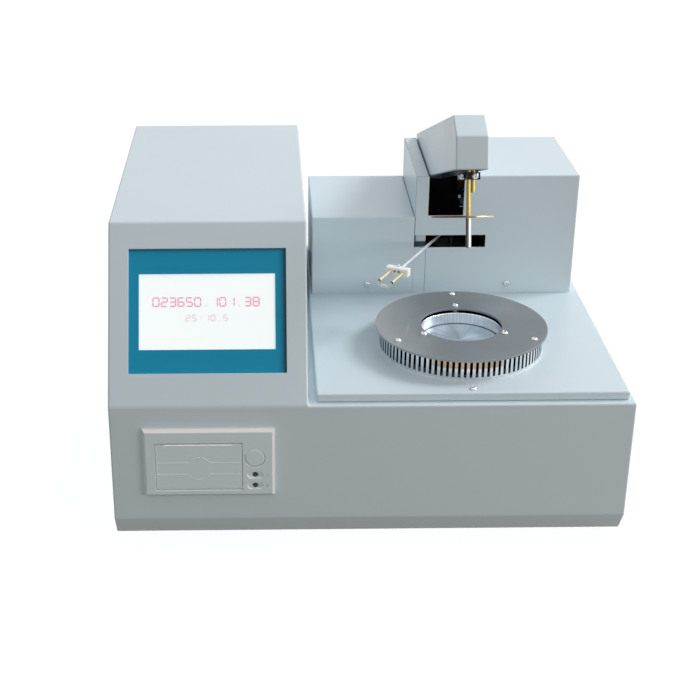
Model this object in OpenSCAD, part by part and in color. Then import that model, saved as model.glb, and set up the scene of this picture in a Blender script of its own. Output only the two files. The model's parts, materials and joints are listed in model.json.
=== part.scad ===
// Open cup flash point tester: a bench case with a screen tower, a panel printer,
// a round heater, a lifting test arm and a swinging glow wire igniter.
// X runs to the right, Y to the back and Z up. Sizes are in millimetres.
// Inside in_case() the front face is y = 0 and the underside of the case is z = 0.

/* [Case] */
// Width of the case across both sides
case_w = 434.4; // [424:0.2:450]
// Depth of the case from the front face to the back
case_d = 364.4; // [358:0.2:390]
// Height of the base above its underside
base_h = 126.6; // [122:0.2:140]
// Height of the tower above the underside
tower_h = 259.5; // [250:0.5:290]
// Width of the tower on the left
tower_w = 164.2; // [158:0.2:170]
// How far back the sloping screen face runs at its top
slope_run = 77.8; // [66:0.2:90]
// Thickness of the case sheet
sheet = 2; // [1.5:0.1:2.4]
// Height of the chamfer along the bottom front edge
chin_h = 19.8; // [16:0.2:24]
// Depth of the chamfer along the bottom front edge
chin_d = 12.4; // [9:0.2:15]
// Width of the turned-in edges of the floor
floor_lip = 45; // [40:1:60]
// Width of the turned-in edges behind the rear panel
rear_lip = 10; // [8:0.5:12]
// Thickness of the base plate
plate_t = 2; // [1.5:0.1:3]
// Clearance round panels that lie inside the case
panel_gap = 0.3; // [0.2:0.05:0.6]
// Number of ventilation slots in each side
vent_count = 12; // [6:1:16]
// Height of a ventilation slot
vent_h = 42; // [30:1:60]
// Width of a ventilation slot
vent_w = 3; // [2:0.25:3.5]

/* [Feet] */
// Height of a foot
foot_h = 8; // [6:0.5:12]
// Radius of a foot where it meets the case
foot_r = 11; // [9:0.5:14]
// Distance from each side of the case to the middle of a foot
foot_side = 27; // [20:1:30]
// Distance from the front face to the middle of a front foot
foot_front = 45; // [35:1:60]
// Distance from the back of the case to the middle of a rear foot
foot_back = 40; // [30:1:60]

/* [Fasteners] */
// Radius of a screw shank
screw_r = 1.45; // [1.2:0.05:1.6]
// Radius of a screw head
screw_head_r = 2.85; // [2.5:0.05:3.2]
// Height of a screw head
screw_head_h = 1.9; // [1.5:0.1:2.2]
// Length of a screw shank
screw_len = 8; // [6:0.5:9]
// Radial clearance of a screw in its hole
screw_gap = 0.15; // [0.1:0.05:0.3]

/* [Screen] */
// Distance from the left side of the case to the screen opening
screen_left = 16.8; // [14:0.2:20]
// Width of the opening in the sloping face
screen_w = 130.1; // [126:0.1:132]
// Distance up the slope from the base top to the opening
screen_up = 27.7; // [22:0.1:32]
// Height of the opening along the slope
screen_h = 103.5; // [98:0.1:106]
// How far the teal panel reaches behind the edges of the opening
screen_lap = 5; // [3:0.5:7]
// Thickness of the teal panel
screen_panel_t = 2; // [1.5:0.1:3]
// Width of the display window
window_w = 112.8; // [108:0.2:116]
// Height of the display window
window_h = 63.2; // [60:0.2:68]
// Distance from the left edge of the opening to the window
window_left = 8.3; // [6:0.1:10]
// Distance from the bottom edge of the opening to the window
window_up = 19.7; // [16:0.1:24]
// How far the display glass lies behind the teal face
glass_set_back = 1; // [0.5:0.1:1.5]
// Thickness of the display module behind the teal panel
display_t = 8; // [6:0.5:12]

/* [Printer] */
// Distance from the left side of the case to the bezel
bezel_left = 27; // [24:0.5:30]
// Width of the bezel
bezel_w = 109.7; // [109:0.1:112]
// Height of the bezel
bezel_h = 62.9; // [62:0.1:66]
// Height of the bezel's bottom edge
bezel_up = 44.5; // [36:0.5:48]
// How far the bezel stands proud of the front face
bezel_proud = 4.6; // [4.2:0.1:6]
// Width of the bevel along the bezel's edges
bezel_bevel = 2.3; // [1.5:0.1:2.8]
// Distance from the bezel's left edge to the door opening
door_left = 10.2; // [9.5:0.1:11]
// Distance from the bezel's bottom edge to the door opening
door_up = 6; // [4.5:0.1:6]
// Width of the door opening
door_w = 72.5; // [70:0.1:73]
// Height of the door opening
door_h = 44.6; // [42:0.1:45]
// Thickness of the door
door_t = 3.2; // [2.8:0.1:3.6]
// How far the door face lies behind the bezel face
door_set_back = 0.4; // [0.2:0.1:0.8]
// Gap between the door and its opening
door_gap = 0.3; // [0.25:0.05:0.5]
// Height of the paper slot above the door
paper_slot_h = 0.9; // [0.6:0.1:1.2]
// Radius of the door's hinge pins
door_pin_r = 1.1; // [0.9:0.05:1.2]
// Length of a hinge pin outside the door
door_pin_len = 2.2; // [1.5:0.1:2.6]
// Radius of the disc moulded in the middle of the door
door_disc_r = 10.35; // [9:0.05:12]
// Height of the band moulded across the door
door_band_h = 10.9; // [9:0.1:12]
// Height of the band's middle above the bottom of the opening
door_band_up = 21.25; // [19:0.05:24]
// Depth of the printer chassis behind the front face
chassis_d = 50; // [46:1:60]
// Radius of the paper roll
roll_r = 17; // [14:0.5:17.5]
// Width of the paper roll
roll_w = 57.4; // [55:0.1:58]
// Radius of the platen roller
platen_r = 5; // [4:0.25:5]
// Radius of the round release button
button_r = 8.2; // [7:0.1:8.4]
// Travel of the release button
button_travel = 1.2; // [0.8:0.1:1.4]
// Radius of a small key
key_r = 1.85; // [1.5:0.05:2]
// Travel of a small key
key_travel = 0.7; // [0.5:0.1:0.8]

/* [Work deck] */
// Gap between the tower and the deck
deck_gap_left = 7.1; // [6:0.1:9]
// Gap between the deck and the right side of the case
deck_gap_right = 4.6; // [4:0.1:7]
// Gap between the front face and the deck
deck_front = 6.8; // [5:0.1:9]
// Gap between the back of the case and the deck
deck_back = 12.4; // [10:0.1:15]
// Height of the deck above the base
deck_h = 7.4; // [6:0.1:9]
// Thickness of the deck and hood sheet
deck_t = 1.5; // [1.2:0.1:1.8]

/* [Heater] */
// Distance from the right edge of the deck to the heater's middle
heater_from_right = 128.7; // [122:0.1:132]
// Distance from the front face to the heater's middle
heater_from_front = 101.7; // [98:0.1:106]
// Radius of the cover disc
disc_r = 75; // [73:0.25:76]
// Thickness of the cover disc
disc_t = 2; // [1.5:0.1:2.5]
// Radius of the hole in the cover disc
disc_hole_r = 35.4; // [35.3:0.05:36]
// Outer radius of the slotted skirt
skirt_r = 71.2; // [71:0.1:72]
// Wall of the slotted skirt
skirt_t = 1.2; // [1:0.1:1.3]
// Height of the slotted skirt
skirt_h = 17.9; // [17.6:0.1:20]
// Number of slots in the skirt
slot_count = 90; // [60:2:90]
// Width of a skirt slot
slot_w = 2.4; // [1.8:0.1:2.6]
// Height of the solid edge below the slots
slot_up = 2.5; // [2:0.1:4]
// Radius of the heater block
block_r = 64; // [61:0.5:64.5]
// Radius of the bore that takes the test cup
cup_bore_r = 35; // [34:0.1:35]
// Depth of the bore that takes the test cup
cup_bore_d = 10.4; // [8:0.1:11]
// Air gap between the block and the cover disc
disc_air_gap = 2.5; // [1.5:0.1:3]
// Air gap between the deck and the block
block_air_gap = 3; // [2:0.1:3.5]
// Circle radius of the outer cover screws
outer_screw_circle = 67.5; // [67.2:0.05:67.7]
// Circle radius of the inner cover screws
inner_screw_circle = 40.5; // [39.5:0.1:46]
// Radius of the boss below the heater block
boss_r = 50; // [46:0.5:50.5]
// Depth of the boss below the block
boss_h = 11; // [10:0.5:13]
// Depth of the heater pan below the deck top
pan_depth = 35.5; // [32:0.5:40]
// Thickness of the electric heating element
element_t = 6; // [4:0.5:8]

/* [Hood] */
// Gap between the left edge of the deck and the hood
hood_gap_left = 2.7; // [2:0.1:4]
// Gap between the hood and the right edge of the deck
hood_gap_right = 8; // [6:0.2:10]
// Distance from the front face to the front of the hood
hood_front = 219.8; // [214:0.2:224]
// Gap between the back of the hood and the back of the case
hood_back = 19; // [18:0.2:22]
// Height of the low part of the hood above the deck
hood_low_h = 77.5; // [72:0.5:80]
// Height of the tall part of the hood above the deck
hood_tall_h = 117.1; // [115:0.1:125]
// Distance from the heater's middle to the step between the two parts
hood_step = 30.9; // [30:0.1:33]
// Height of the arm opening's sill above the deck
arm_sill = 78.5; // [76:0.1:79]
// Gap between the arm and the left edge of its opening
arm_gap_left = 0.8; // [0.6:0.1:1.2]
// Gap between the arm and the right edge of its opening
arm_gap_right = 5.6; // [4:0.1:6]
// Height of the igniter slot's lower edge above the deck
slot_sill = 46.8; // [45:0.1:48]
// Height of the igniter slot
slot_open_h = 12.2; // [11:0.1:14]
// Distance from the step to the right end of the igniter slot
slot_len = 67.2; // [66:0.1:72]
// Width of the closing strip below the slot
strip_w = 11.5; // [10:0.1:12]

/* [Test arm] */
// Height of the arm's hinge above the deck
pivot_up = 102.5; // [101.5:0.1:103]
// Distance from the back of the hood to the arm's hinge
pivot_in = 13.6; // [13.5:0.1:16]
// Angle by which the arm is raised at rest
arm_raise = 19.35; // [15:0.05:20]
// Width of the arm cover
arm_w = 26.4; // [25.6:0.1:27.2]
// Height of the arm cover
arm_h = 45; // [43:0.5:46]
// Distance from the heater's middle left to the arm's middle
arm_offset = 4.7; // [4:0.1:5.4]
// Length of the arm cover behind its hinge
arm_tail = 13; // [12:0.5:13.5]
// Length of the arm cover in front of the probe
arm_nose = 39.3; // [34:0.1:44]
// Length of the slope at the top of the nose
nose_run = 21; // [15:0.5:26]
// Drop of the slope at the top of the nose
nose_drop = 18; // [14:0.5:24]
// Thickness of the arm cover
arm_t = 1.5; // [1.2:0.1:1.8]
// Radius of the arm's hinge shaft
shaft_r = 3.97; // [3.5:0.01:4.5]
// Radial running clearance of the shaft in its bushes
run_gap = 0.05; // [0.03:0.01:0.08]
// Thickness of the bracket plates that carry the shaft
bracket_t = 3; // [2:0.25:3]
// Module of the lift gears
gear_module = 1; // [0.9:0.05:1]
// Teeth that a full lift gear would have
gear_teeth = 72; // [68:4:72]
// Teeth of the lift pinion
pinion_teeth = 18; // [17:1:18]
// Face width of the lift gears
gear_w = 5; // [4:0.25:6]
// Direction of the pinion from the hinge, forward from straight down
pinion_angle = 40; // [36:1:44]

/* [Probe and ring] */
// Distance from the heater's middle forward to the probe
probe_forward = 14.9; // [12:0.1:16]
// Distance from the arm's middle right to the probe
probe_right = 2.8; // [2:0.1:4]
// Radius of the temperature probe
probe_r = 2.3; // [2:0.05:2.5]
// Distance from the arm's centre line down to the probe's tip
probe_drop = 86; // [84:0.25:87]
// Radius of the brass tube above the ring
ring_tube_r = 1.9; // [1.6:0.05:2]
// Distance from the arm's centre line down to the detection ring
ring_drop = 60.2; // [59:0.1:60.5]
// Radius of the detection ring
ring_r = 25.75; // [24:0.25:28]
// Radius of the detection ring's wire
ring_wire_r = 0.7; // [0.5:0.05:0.9]
// Distance from the arm's centre line down to the clamp block
clamp_drop = 23.6; // [23.2:0.1:25]
// Height of the clamp block
clamp_h = 6; // [5:0.1:7]
// Width of the clamp block
clamp_w = 11; // [10.6:0.1:12]
// Depth of the clamp block
clamp_d = 12; // [10:0.25:14]
// Radius of the short wire tube
wire_tube_r = 1.6; // [1.3:0.05:1.7]
// Distance from the probe right to the wire tube
wire_tube_right = 3.7; // [3.6:0.05:4]
// Distance from the arm's centre line down to the end of the wire tube
wire_tube_drop = 40; // [36:0.5:44]

/* [Igniter] */
// Distance from the heater's middle right to the igniter's pivot
igniter_right = 10.4; // [9:0.1:12]
// Distance from the front of the hood back to the igniter's pivot
igniter_in = 45.6; // [44:0.1:48]
// Height of the igniter rod above the deck
igniter_up = 53; // [52.8:0.1:53.4]
// Angle of the rod to the left of straight forward at rest
igniter_rest = 27.65; // [26:0.05:28]
// Radius of the igniter rod
igniter_rod_r = 1.3; // [1:0.05:1.5]
// Width of the ceramic block
ceramic_w = 21.2; // [20:0.1:23]
// Depth of the ceramic block
ceramic_d = 7; // [6:0.1:8]
// Height of the ceramic block
ceramic_h = 7; // [6:0.1:8]
// Length of a brass post in front of the ceramic block
post_len = 25; // [22:0.25:27]
// Radius of a brass post
post_r = 1.5; // [1.2:0.05:1.6]
// Distance between the brass posts
post_pitch = 11.8; // [10:0.1:13]
// Length of the glow coil
coil_len = 6.6; // [5:0.1:7.5]
// Radius of the glow coil
coil_r = 1; // [0.8:0.05:1.1]
// How far the glow coil hangs below the posts
coil_drop = 3.4; // [3.2:0.1:4]
// How far the glow coil lies in front of the posts
coil_ahead = 2.4; // [2:0.1:3.5]
// Radius of the igniter's hub
igniter_hub_r = 7; // [6:0.25:8]
// Height of the igniter's hub
igniter_hub_h = 14; // [12:0.5:16]
// Radius of the igniter's drive shaft
igniter_shaft_r = 2.5; // [2:0.05:3]
// Radius of the igniter motor
igniter_motor_r = 17; // [14:0.5:19]
// Height of the igniter motor
igniter_motor_h = 34; // [28:0.5:38]

/* [Rear panel] */
// Distance from the tower's left side to the middle of the fan
fan_in = 82; // [70:1:95]
// Height of the middle of the fan
fan_up = 190; // [180:1:200]
// Width and height of the fan frame
fan_size = 80; // [76:1:84]
// Depth of the fan frame
fan_depth = 25; // [15:1:32]
// Spacing of the fan's mounting holes
fan_pitch = 71.5; // [68:0.5:73]
// Number of fan blades
fan_blades = 7; // [5:1:9]
// Thickness of the fan guard's wire
guard_wire = 2.4; // [1.8:0.1:2.6]
// Distance from the left side of the case to the middle of the mains inlet
inlet_in = 55; // [48:1:65]
// Height of the middle of the mains inlet
inlet_up = 55; // [45:1:65]
// Distance between the mains inlet and the power switch
switch_right = 62; // [55:1:75]
// Thickness of the flanges on the rear panel
flange_t = 2.4; // [2:0.1:2.4]
// Depth of the inlet cavity
inlet_cavity_d = 17; // [15:0.5:18]
// Width of the inlet cavity
inlet_cavity_w = 24.2; // [23:0.1:25]
// Height of the inlet cavity
inlet_cavity_h = 16.8; // [16:0.1:17.5]
// Tilt of the power rocker to each side
rocker_tilt = 7.5; // [5:0.5:8]

/* [Hidden] */
$fn = 64;

// Colours of the finishes
paint = [0.78, 0.84, 0.86];
teal = [0.12, 0.50, 0.64];
steel = [0.62, 0.64, 0.66];
bright_steel = [0.82, 0.83, 0.85];
brass = [0.80, 0.62, 0.22];
bezel_grey = [0.63, 0.68, 0.70];
black_plastic = [0.08, 0.08, 0.09];
ceramic_white = [0.95, 0.95, 0.93];

// Small overlap that carries a cut past a face
cut = 1;

// Case
case_left = -case_w / 2;
case_right = case_w / 2;
tower_right = case_left + tower_w;
slope_rise = tower_h - base_h;
slope_len = norm([slope_run, slope_rise]);
slope_lean = atan(slope_run / slope_rise);
slope_inset = sheet * slope_len / slope_rise;
chin_inset = sheet * norm([chin_d, chin_h]) / chin_h;
panel_y = case_d - sheet;
lip_y = panel_y - sheet;
rear_proud = guard_wire + screw_head_h;
mid_y = (case_d + rear_proud - bezel_proud) / 2;
vent_pitch = vent_w * 2.6;
vent_y = case_d * 0.5;
vent_z = 32;

// What stands on the base plate
board_in = 27;
board_back = 150;
board_w = 110;
board_d = 130;
board_t = 1.6;
stand_in = 6;
stand_h = 10;
// Left, front, right, back and height of each block on the board
board_blocks = [
    [0.2 * board_w, 0.25 * board_d, 0.4 * board_w, 0.4 * board_d, 4],
    [0.55 * board_w, 0.45 * board_d, 0.8 * board_w, 0.85 * board_d, 16]
];
supply_in = 20;
supply_w = 98;
supply_d = 160;
supply_h = 42;
supply_step = 11;
supply_front = lip_y - supply_d - 36;

// Work deck
deck_left = tower_right + deck_gap_left;
deck_right = case_right - deck_gap_right;
deck_rear = case_d - deck_back;
deck_top = base_h + deck_h;
deck_rim = 10.2;
deck_open_rear = case_d - 64;
heater_x = deck_right - heater_from_right;
heater_y = heater_from_front;
deck_screw_y = deck_front + 7.3;

// Heater, from the deck up
disc_z = deck_top + skirt_h;
disc_top = disc_z + disc_t;
block_top = disc_z - disc_air_gap;
block_base = deck_top + block_air_gap;
boss_base = block_base - boss_h;
cup_floor = block_top - cup_bore_d;
deck_hole_r = boss_r + 2;
pillar_r = min(2.4, skirt_r - skirt_t - outer_screw_circle - 0.1);
spacer_r = 3.2;
leg_r = 5;
leg_circle = deck_hole_r + leg_r + 1;
mouth_bevel = 0.5;
insulation_r = boss_r + 3.6;
pan_r = insulation_r + 0.1;
pan_t = deck_t;
pan_flange_r = pan_r + pan_t + 8.8;
pan_base = deck_top - pan_depth;
element_r = boss_r - 1;
element_hole_r = 14;
disc_screw_angles = [90, 210, 330];

// Hood
hood_left = deck_left + hood_gap_left;
hood_right = deck_right - hood_gap_right;
hood_rear = case_d - hood_back;
step_x = heater_x - hood_step;
low_top = deck_top + hood_low_h;
tall_top = deck_top + hood_tall_h;
sill_z = deck_top + arm_sill;
slot_z = deck_top + slot_sill;
slot_top = slot_z + slot_open_h;
strip_gap = 0.1;
strip_t = 1.3;
strip_back = 4.2;
hood_tab_w = 16;
hood_tab_h = 15;
hood_screw_z = deck_top + 9.5;
hood_screw_low_x = (hood_left + step_x) / 2 + 4.6;
hood_screw_tall_x = (step_x + hood_right) / 2 + 13.9;

// Test arm; its own frame has the hinge at the origin, forward along -Y when lowered
arm_x = heater_x - arm_offset;
arm_left = arm_x - arm_w / 2;
arm_right = arm_x + arm_w / 2;
opening_left = arm_left - arm_gap_left;
opening_right = arm_right + arm_gap_right;
pivot_y = hood_rear - pivot_in;
pivot_z = deck_top + pivot_up;
probe_x = arm_x + probe_right;
probe_l = pivot_y - heater_y + probe_forward;
arm_front = probe_l + arm_nose;
frame_t = 2;
frame_top = arm_h / 2 - 5;
frame_floor = arm_h / 2 - 10;
frame_front = arm_front - nose_run - 8;
shelf_half = 17;
bracket_left_x = opening_left - 3 - bracket_t;
bracket_right_x = opening_right + 18;
bracket_half = 12.5;
bracket_top = min(pivot_z + bracket_half, tall_top - deck_t - 2);
bracket_foot = 14;
bush_r = 7;
bush_flange_r = 9;
bush_flange_t = 1.5;
hub_bore_r = shaft_r + 0.03;
shaft_over = 2;
shaft_left = bracket_left_x - shaft_over;
shaft_right = bracket_right_x + bracket_t + shaft_over;
gear_x = opening_right + 8;
gear_hub_r = 8;
gear_hub_len = 4;
pressure_angle = 20;
tooth_thin = 0.08;
gear_pitch_r = gear_module * gear_teeth / 2;
pinion_pitch_r = gear_module * pinion_teeth / 2;
lift_centres = gear_pitch_r + pinion_pitch_r;
pinion_y = pivot_y - lift_centres * sin(pinion_angle);
pinion_z = pivot_z - lift_centres * cos(pinion_angle);
pinion_bore_r = 2.5;
motor_size = 42;
motor_len = 40;
motor_pilot_r = 11;
sector_spare = 5;

// Probe, ring and clamp
ring_x = arm_x;
ring_l = pivot_y - heater_y;
collar_r = 2.7;
collar_h = 2.4;
tube_top_drop = 6;
clamp_left = probe_x - 2.6;
hanger_w = 6;
hanger_t = 2;
hanger_l = probe_l - 6;

// Igniter; its own frame has the pivot at the origin, the rod along -Y
igniter_x = heater_x + igniter_right;
igniter_y = hood_front + igniter_in;
igniter_z = deck_top + igniter_up;
igniter_reach = norm([igniter_x - heater_x, igniter_y - heater_y]);
ceramic_front = igniter_reach - post_len;
ceramic_back = ceramic_front - ceramic_d;
rod_tail = 5;
fit_gap = 0.05;
lead_r = 0.35;

// Printer
bezel_x = case_left + bezel_left;
bezel_z = bezel_up;
door_x = bezel_x + door_left;
door_z = bezel_z + door_up;
door_face = bezel_proud - door_set_back;
door_hinge_y = door_face - door_t / 2;
door_hinge_z = door_z + door_gap + door_t / 2;
door_top = door_z + door_h - paper_slot_h;
chassis_side = 3.3;
chassis_t = 2;
chassis_x = bezel_x + chassis_side;
chassis_w = bezel_w - 2 * chassis_side;
chassis_z = bezel_z + 3;
chassis_h = bezel_h - 6;
bay_x = door_x + 0.5;
bay_w = door_w - 1;
bay_z = door_z + 1.6;
roll_y = 26;
roll_z = bay_z + roll_r + 3.2;
roll_core_r = 6;
spindle_pin_r = 2;
platen_y = 12;
platen_z = chassis_z + chassis_h - chassis_t - platen_r - 0.9;
platen_pin_r = 1.5;
groove_w = 0.5;
groove_d = 0.4;
button_x = bezel_x + bezel_w - 16.6;
button_z = bezel_z + 36.3;
button_stem_r = 4;
button_rim = 1.2;
button_gap = 0.3;
key_x = button_x;
key_upper_z = bezel_z + 20.2;
key_lower_z = bezel_z + 10;
key_recess_w = 13;
key_recess_h = 6;
key_recess_d = 1.2;
key_stem_r = 1.2;
key_gap = 0.25;

// Rear fittings
fan_x = case_left + fan_in;
fan_bore_r = fan_size / 2 - 2;
fan_hub_r = 18;
fan_blade_gap = 1.5;
fan_blade_t = 1.6;
fan_blade_pitch = 38;
inlet_x = case_left + inlet_in;
inlet_w = 50;
inlet_below = 12;
inlet_above = 21;
inlet_wall = 2;
blade_t = 2;
blade_h = 4;
blade_len = 12;
blade_tail = 8;
blade_side = 7;
drawer_w = 20;
drawer_h = 5.6;
drawer_up = 13.2;
drawer_len = 16;
drawer_gap = 0.3;
switch_x = inlet_x + switch_right;
switch_z = inlet_up;
rocker_half = 7.6;
rocker_w = 10;
rocker_y = case_d - 1.2;
switch_hole_h = 8.8;
switch_hole_w = 5.3;
switch_flange = 3;
switch_depth = 16;

// Screws: where each one sits and how it is turned
up = [0, 0, 0];
front = [90, 0, 0];
back = [-90, 0, 0];
down = [180, 0, 0];
lip_x = case_w / 2 - sheet - rear_lip / 2;
foot_spots = [
    for (sx = [-1, 1]) for (fy = [foot_front, case_d - foot_back])
        [sx * (case_w / 2 - foot_side), fy]
];
foot_bore_depth = 4;
deck_screws = [
    [[heater_x, deck_screw_y, deck_top], up],
    [[hood_left + 13, deck_open_rear + 12, deck_top], up],
    [[hood_right - 14, deck_open_rear + 12, deck_top], up]
];
hood_screws = [
    [[hood_screw_low_x, hood_front, hood_screw_z], front],
    [[hood_screw_tall_x, hood_front, hood_screw_z], front],
    [[hood_screw_low_x, hood_rear, hood_screw_z], back],
    [[hood_screw_tall_x, hood_rear, hood_screw_z], back]
];
panel_screws = [
    [[-lip_x, case_d, 0.2 * base_h], back],
    [[lip_x, case_d, 0.2 * base_h], back],
    [[lip_x, case_d, 0.85 * base_h], back],
    [[-lip_x, case_d, tower_h - 25], back],
    [[tower_right - sheet - rear_lip / 2, case_d, tower_h - 25], back],
    [[heater_x, case_d, base_h - sheet - rear_lip / 2], back],
    [[heater_x, case_d, sheet + rear_lip / 2], back],
    [[-lip_x, case_d, 0.95 * base_h], back]
];
inlet_screws = [
    for (sx = [-1, 1]) [[inlet_x + sx * (inlet_w / 2 - 4.5), case_d + flange_t, inlet_up], back]
];
guard_screws = [
    for (sx = [-1, 1]) for (sz = [-1, 1])
        [[fan_x + sx * fan_pitch / 2, case_d + guard_wire, fan_up + sz * fan_pitch / 2], back]
];
foot_screws = [
    for (p = foot_spots) [[p[0], p[1], -foot_h + foot_bore_depth], down]
];
bracket_screws = [
    [[bracket_left_x + bracket_t + bracket_foot / 2 + 1, pivot_y, deck_top + bracket_t], up],
    [[bracket_right_x + bracket_t + bracket_foot / 2 + 1, pivot_y, deck_top + bracket_t], up],
    [[bracket_right_x + bracket_t + bracket_foot / 2 + 1, pinion_y - 8, deck_top + bracket_t], up]
];
all_screws = concat(deck_screws, hood_screws, panel_screws, inlet_screws, guard_screws,
    foot_screws, bracket_screws);

// Moves the case's frame to the part's frame, which stands on the middle of its underside
module in_case() {
    translate([0, -mid_y, foot_h]) children();
}

// Runs an outline drawn in Y and Z along X from one side to the other
module along_x(from, to) {
    translate([from, 0, 0]) rotate([90, 0, 90]) linear_extrude(to - from) children();
}

// Runs an outline drawn in X and Z backwards from one depth to another
module along_y(from, to) {
    translate([0, to, 0]) rotate([90, 0, 0]) linear_extrude(to - from) children();
}

// Frame of the sloping screen face: X across, Y up the slope, Z straight out of it
module on_slope() {
    translate([0, 0, base_h]) rotate([90 - slope_lean, 0, 0]) children();
}

// Frame of the test arm: origin on the hinge, -Y forward along the raised arm
module on_arm() {
    in_case() translate([0, pivot_y, pivot_z]) rotate([-arm_raise, 0, 0]) children();
}

// Frame of the igniter: origin on the pivot, -Y along the rod
module on_igniter() {
    in_case() translate([igniter_x, igniter_y, igniter_z]) rotate([0, 0, -igniter_rest]) children();
}

module box(from, to) {
    translate(from) cube(to - from);
}

// A round cut right through a piece of height h that stands on z = 0
module bore(h, r) {
    translate([0, 0, -cut]) cylinder(h = h + 2 * cut, r = r);
}

// A rod along X
module rod_x(from, to, r) {
    translate([from, 0, 0]) rotate([0, 90, 0]) cylinder(h = to - from, r = r);
}

// A rod along Y
module rod_y(from, to, r) {
    translate([0, to, 0]) rotate([90, 0, 0]) cylinder(h = to - from, r = r);
}

// The head of a pan head screw with a cross recess, seated at z = 0
module screw_head() {
    difference() {
        rotate_extrude() polygon([
            [0, 0], [screw_head_r, 0], [screw_head_r, 0.45 * screw_head_h],
            [0.6 * screw_head_r, screw_head_h], [0, screw_head_h]
        ]);
        for (a = [0, 90]) rotate([0, 0, a])
            box([-0.55 * screw_head_r, -0.35, 0.5 * screw_head_h], [0.55 * screw_head_r, 0.35, screw_head_h + cut]);
    }
}

module screw() {
    screw_head();
    translate([0, 0, -screw_len]) cylinder(h = screw_len, r = screw_r, $fn = 32);
}

module screw_set(list) {
    for (s = list) translate(s[0]) rotate(s[1]) screw();
}

// The holes that a list of screws needs in whatever they pass through
module screw_holes(list) {
    for (s = list) translate(s[0]) rotate(s[1])
        translate([0, 0, -screw_len - cut]) cylinder(h = screw_len + cut, r = screw_r + screw_gap, $fn = 32);
}

// Height at which the inner face of the front chamfer meets the inner face of the front
function chin_meet(t) = chin_h * (1 - (t - chin_inset) / chin_d);

// Depth of the inner face of the front chamfer at a height
function chin_inner(z) = chin_d * (1 - z / chin_h) + chin_inset;

// Depth of the inner face of the slope at a height
function slope_inner(z) = slope_run * (z - base_h) / slope_rise + slope_inset;

// Height at which the inner face of the slope meets the inner face of the front
function slope_meet(t) = base_h + slope_rise * (t - slope_inset) / slope_run;

module base_outline() {
    polygon([[0, chin_h], [chin_d, 0], [case_d, 0], [case_d, base_h], [0, base_h]]);
}

module tower_outline() {
    polygon([
        [0, chin_h], [chin_d, 0], [case_d, 0], [case_d, tower_h], [slope_run, tower_h], [0, base_h]
    ]);
}

module base_cavity() {
    polygon([
        [sheet, chin_meet(sheet)], [chin_inner(sheet), sheet], [lip_y, sheet],
        [lip_y, base_h - sheet], [sheet, base_h - sheet]
    ]);
}

module tower_cavity() {
    polygon([
        [sheet, chin_meet(sheet)], [chin_inner(sheet), sheet], [lip_y, sheet],
        [lip_y, tower_h - sheet], [slope_inner(tower_h - sheet), tower_h - sheet],
        [sheet, slope_meet(sheet)]
    ]);
}

// Outline of the back of the case, drawn in by an inset on every side
module rear_outline(inset) {
    translate([case_left + inset, inset]) square([case_w - 2 * inset, base_h - 2 * inset]);
    translate([case_left + inset, inset]) square([tower_w - 2 * inset, tower_h - 2 * inset]);
}

module housing() {
    color(paint) in_case() difference() {
        union() {
            along_x(case_left, case_right) base_outline();
            along_x(case_left, tower_right) tower_outline();
        }
        along_x(case_left + sheet, case_right - sheet) base_cavity();
        along_x(case_left + sheet, tower_right - sheet) tower_cavity();
        along_y(lip_y - cut, panel_y + cut) rear_outline(sheet + rear_lip);
        along_y(panel_y, case_d + cut) rear_outline(sheet);
        box([case_left + floor_lip, floor_lip, -cut], [case_right - floor_lip, case_d - floor_lip, sheet + cut]);
        box(
            [deck_left + deck_rim, deck_front + deck_rim, base_h - sheet - cut],
            [deck_right - deck_rim, deck_open_rear, base_h + cut]
        );
        on_slope() box(
            [case_left + screen_left, screen_up, -sheet - cut],
            [case_left + screen_left + screen_w, screen_up + screen_h, cut]
        );
        box(
            [chassis_x - panel_gap, -cut, chassis_z - panel_gap],
            [chassis_x + chassis_w + panel_gap, sheet + cut, chassis_z + chassis_h + panel_gap]
        );
        for (i = [0 : vent_count - 1])
            box(
                [case_left - cut, vent_y + i * vent_pitch, vent_z],
                [case_right + cut, vent_y + i * vent_pitch + vent_w, vent_z + vent_h]
            );
        screw_holes(concat(deck_screws, panel_screws, foot_screws));
    }
}

module base_plate() {
    color(steel) in_case() difference() {
        box(
            [case_left + sheet + panel_gap, chin_inner(sheet) + panel_gap, sheet],
            [case_right - sheet - panel_gap, lip_y - panel_gap, sheet + plate_t]
        );
        screw_holes(foot_screws);
    }
}

module rear_panel() {
    color(paint) in_case() difference() {
        along_y(panel_y, case_d) rear_outline(sheet + panel_gap);
        translate([fan_x, 0, fan_up]) rod_y(panel_y - cut, case_d + cut, fan_bore_r);
        translate([inlet_x, 0, inlet_up]) inlet_body(panel_y - cut, case_d + cut, panel_gap);
        translate([switch_x, 0, switch_z]) box(
            [-switch_hole_w - inlet_wall - panel_gap, panel_y - cut, -switch_hole_h - inlet_wall - panel_gap],
            [switch_hole_w + inlet_wall + panel_gap, case_d + cut, switch_hole_h + inlet_wall + panel_gap]
        );
        screw_holes(concat(panel_screws, inlet_screws, guard_screws));
    }
}

module case_screws() {
    color(bright_steel) in_case() screw_set(all_screws);
}

module feet() {
    color(black_plastic) in_case() for (p = foot_spots) translate([p[0], p[1], -foot_h]) difference() {
        cylinder(h = foot_h, r1 = foot_r - 2, r2 = foot_r);
        translate([0, 0, -cut]) cylinder(h = foot_bore_depth + cut, r = screw_head_r + 0.6);
        bore(foot_h, screw_r + screw_gap, $fn = 32);
    }
}

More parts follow.
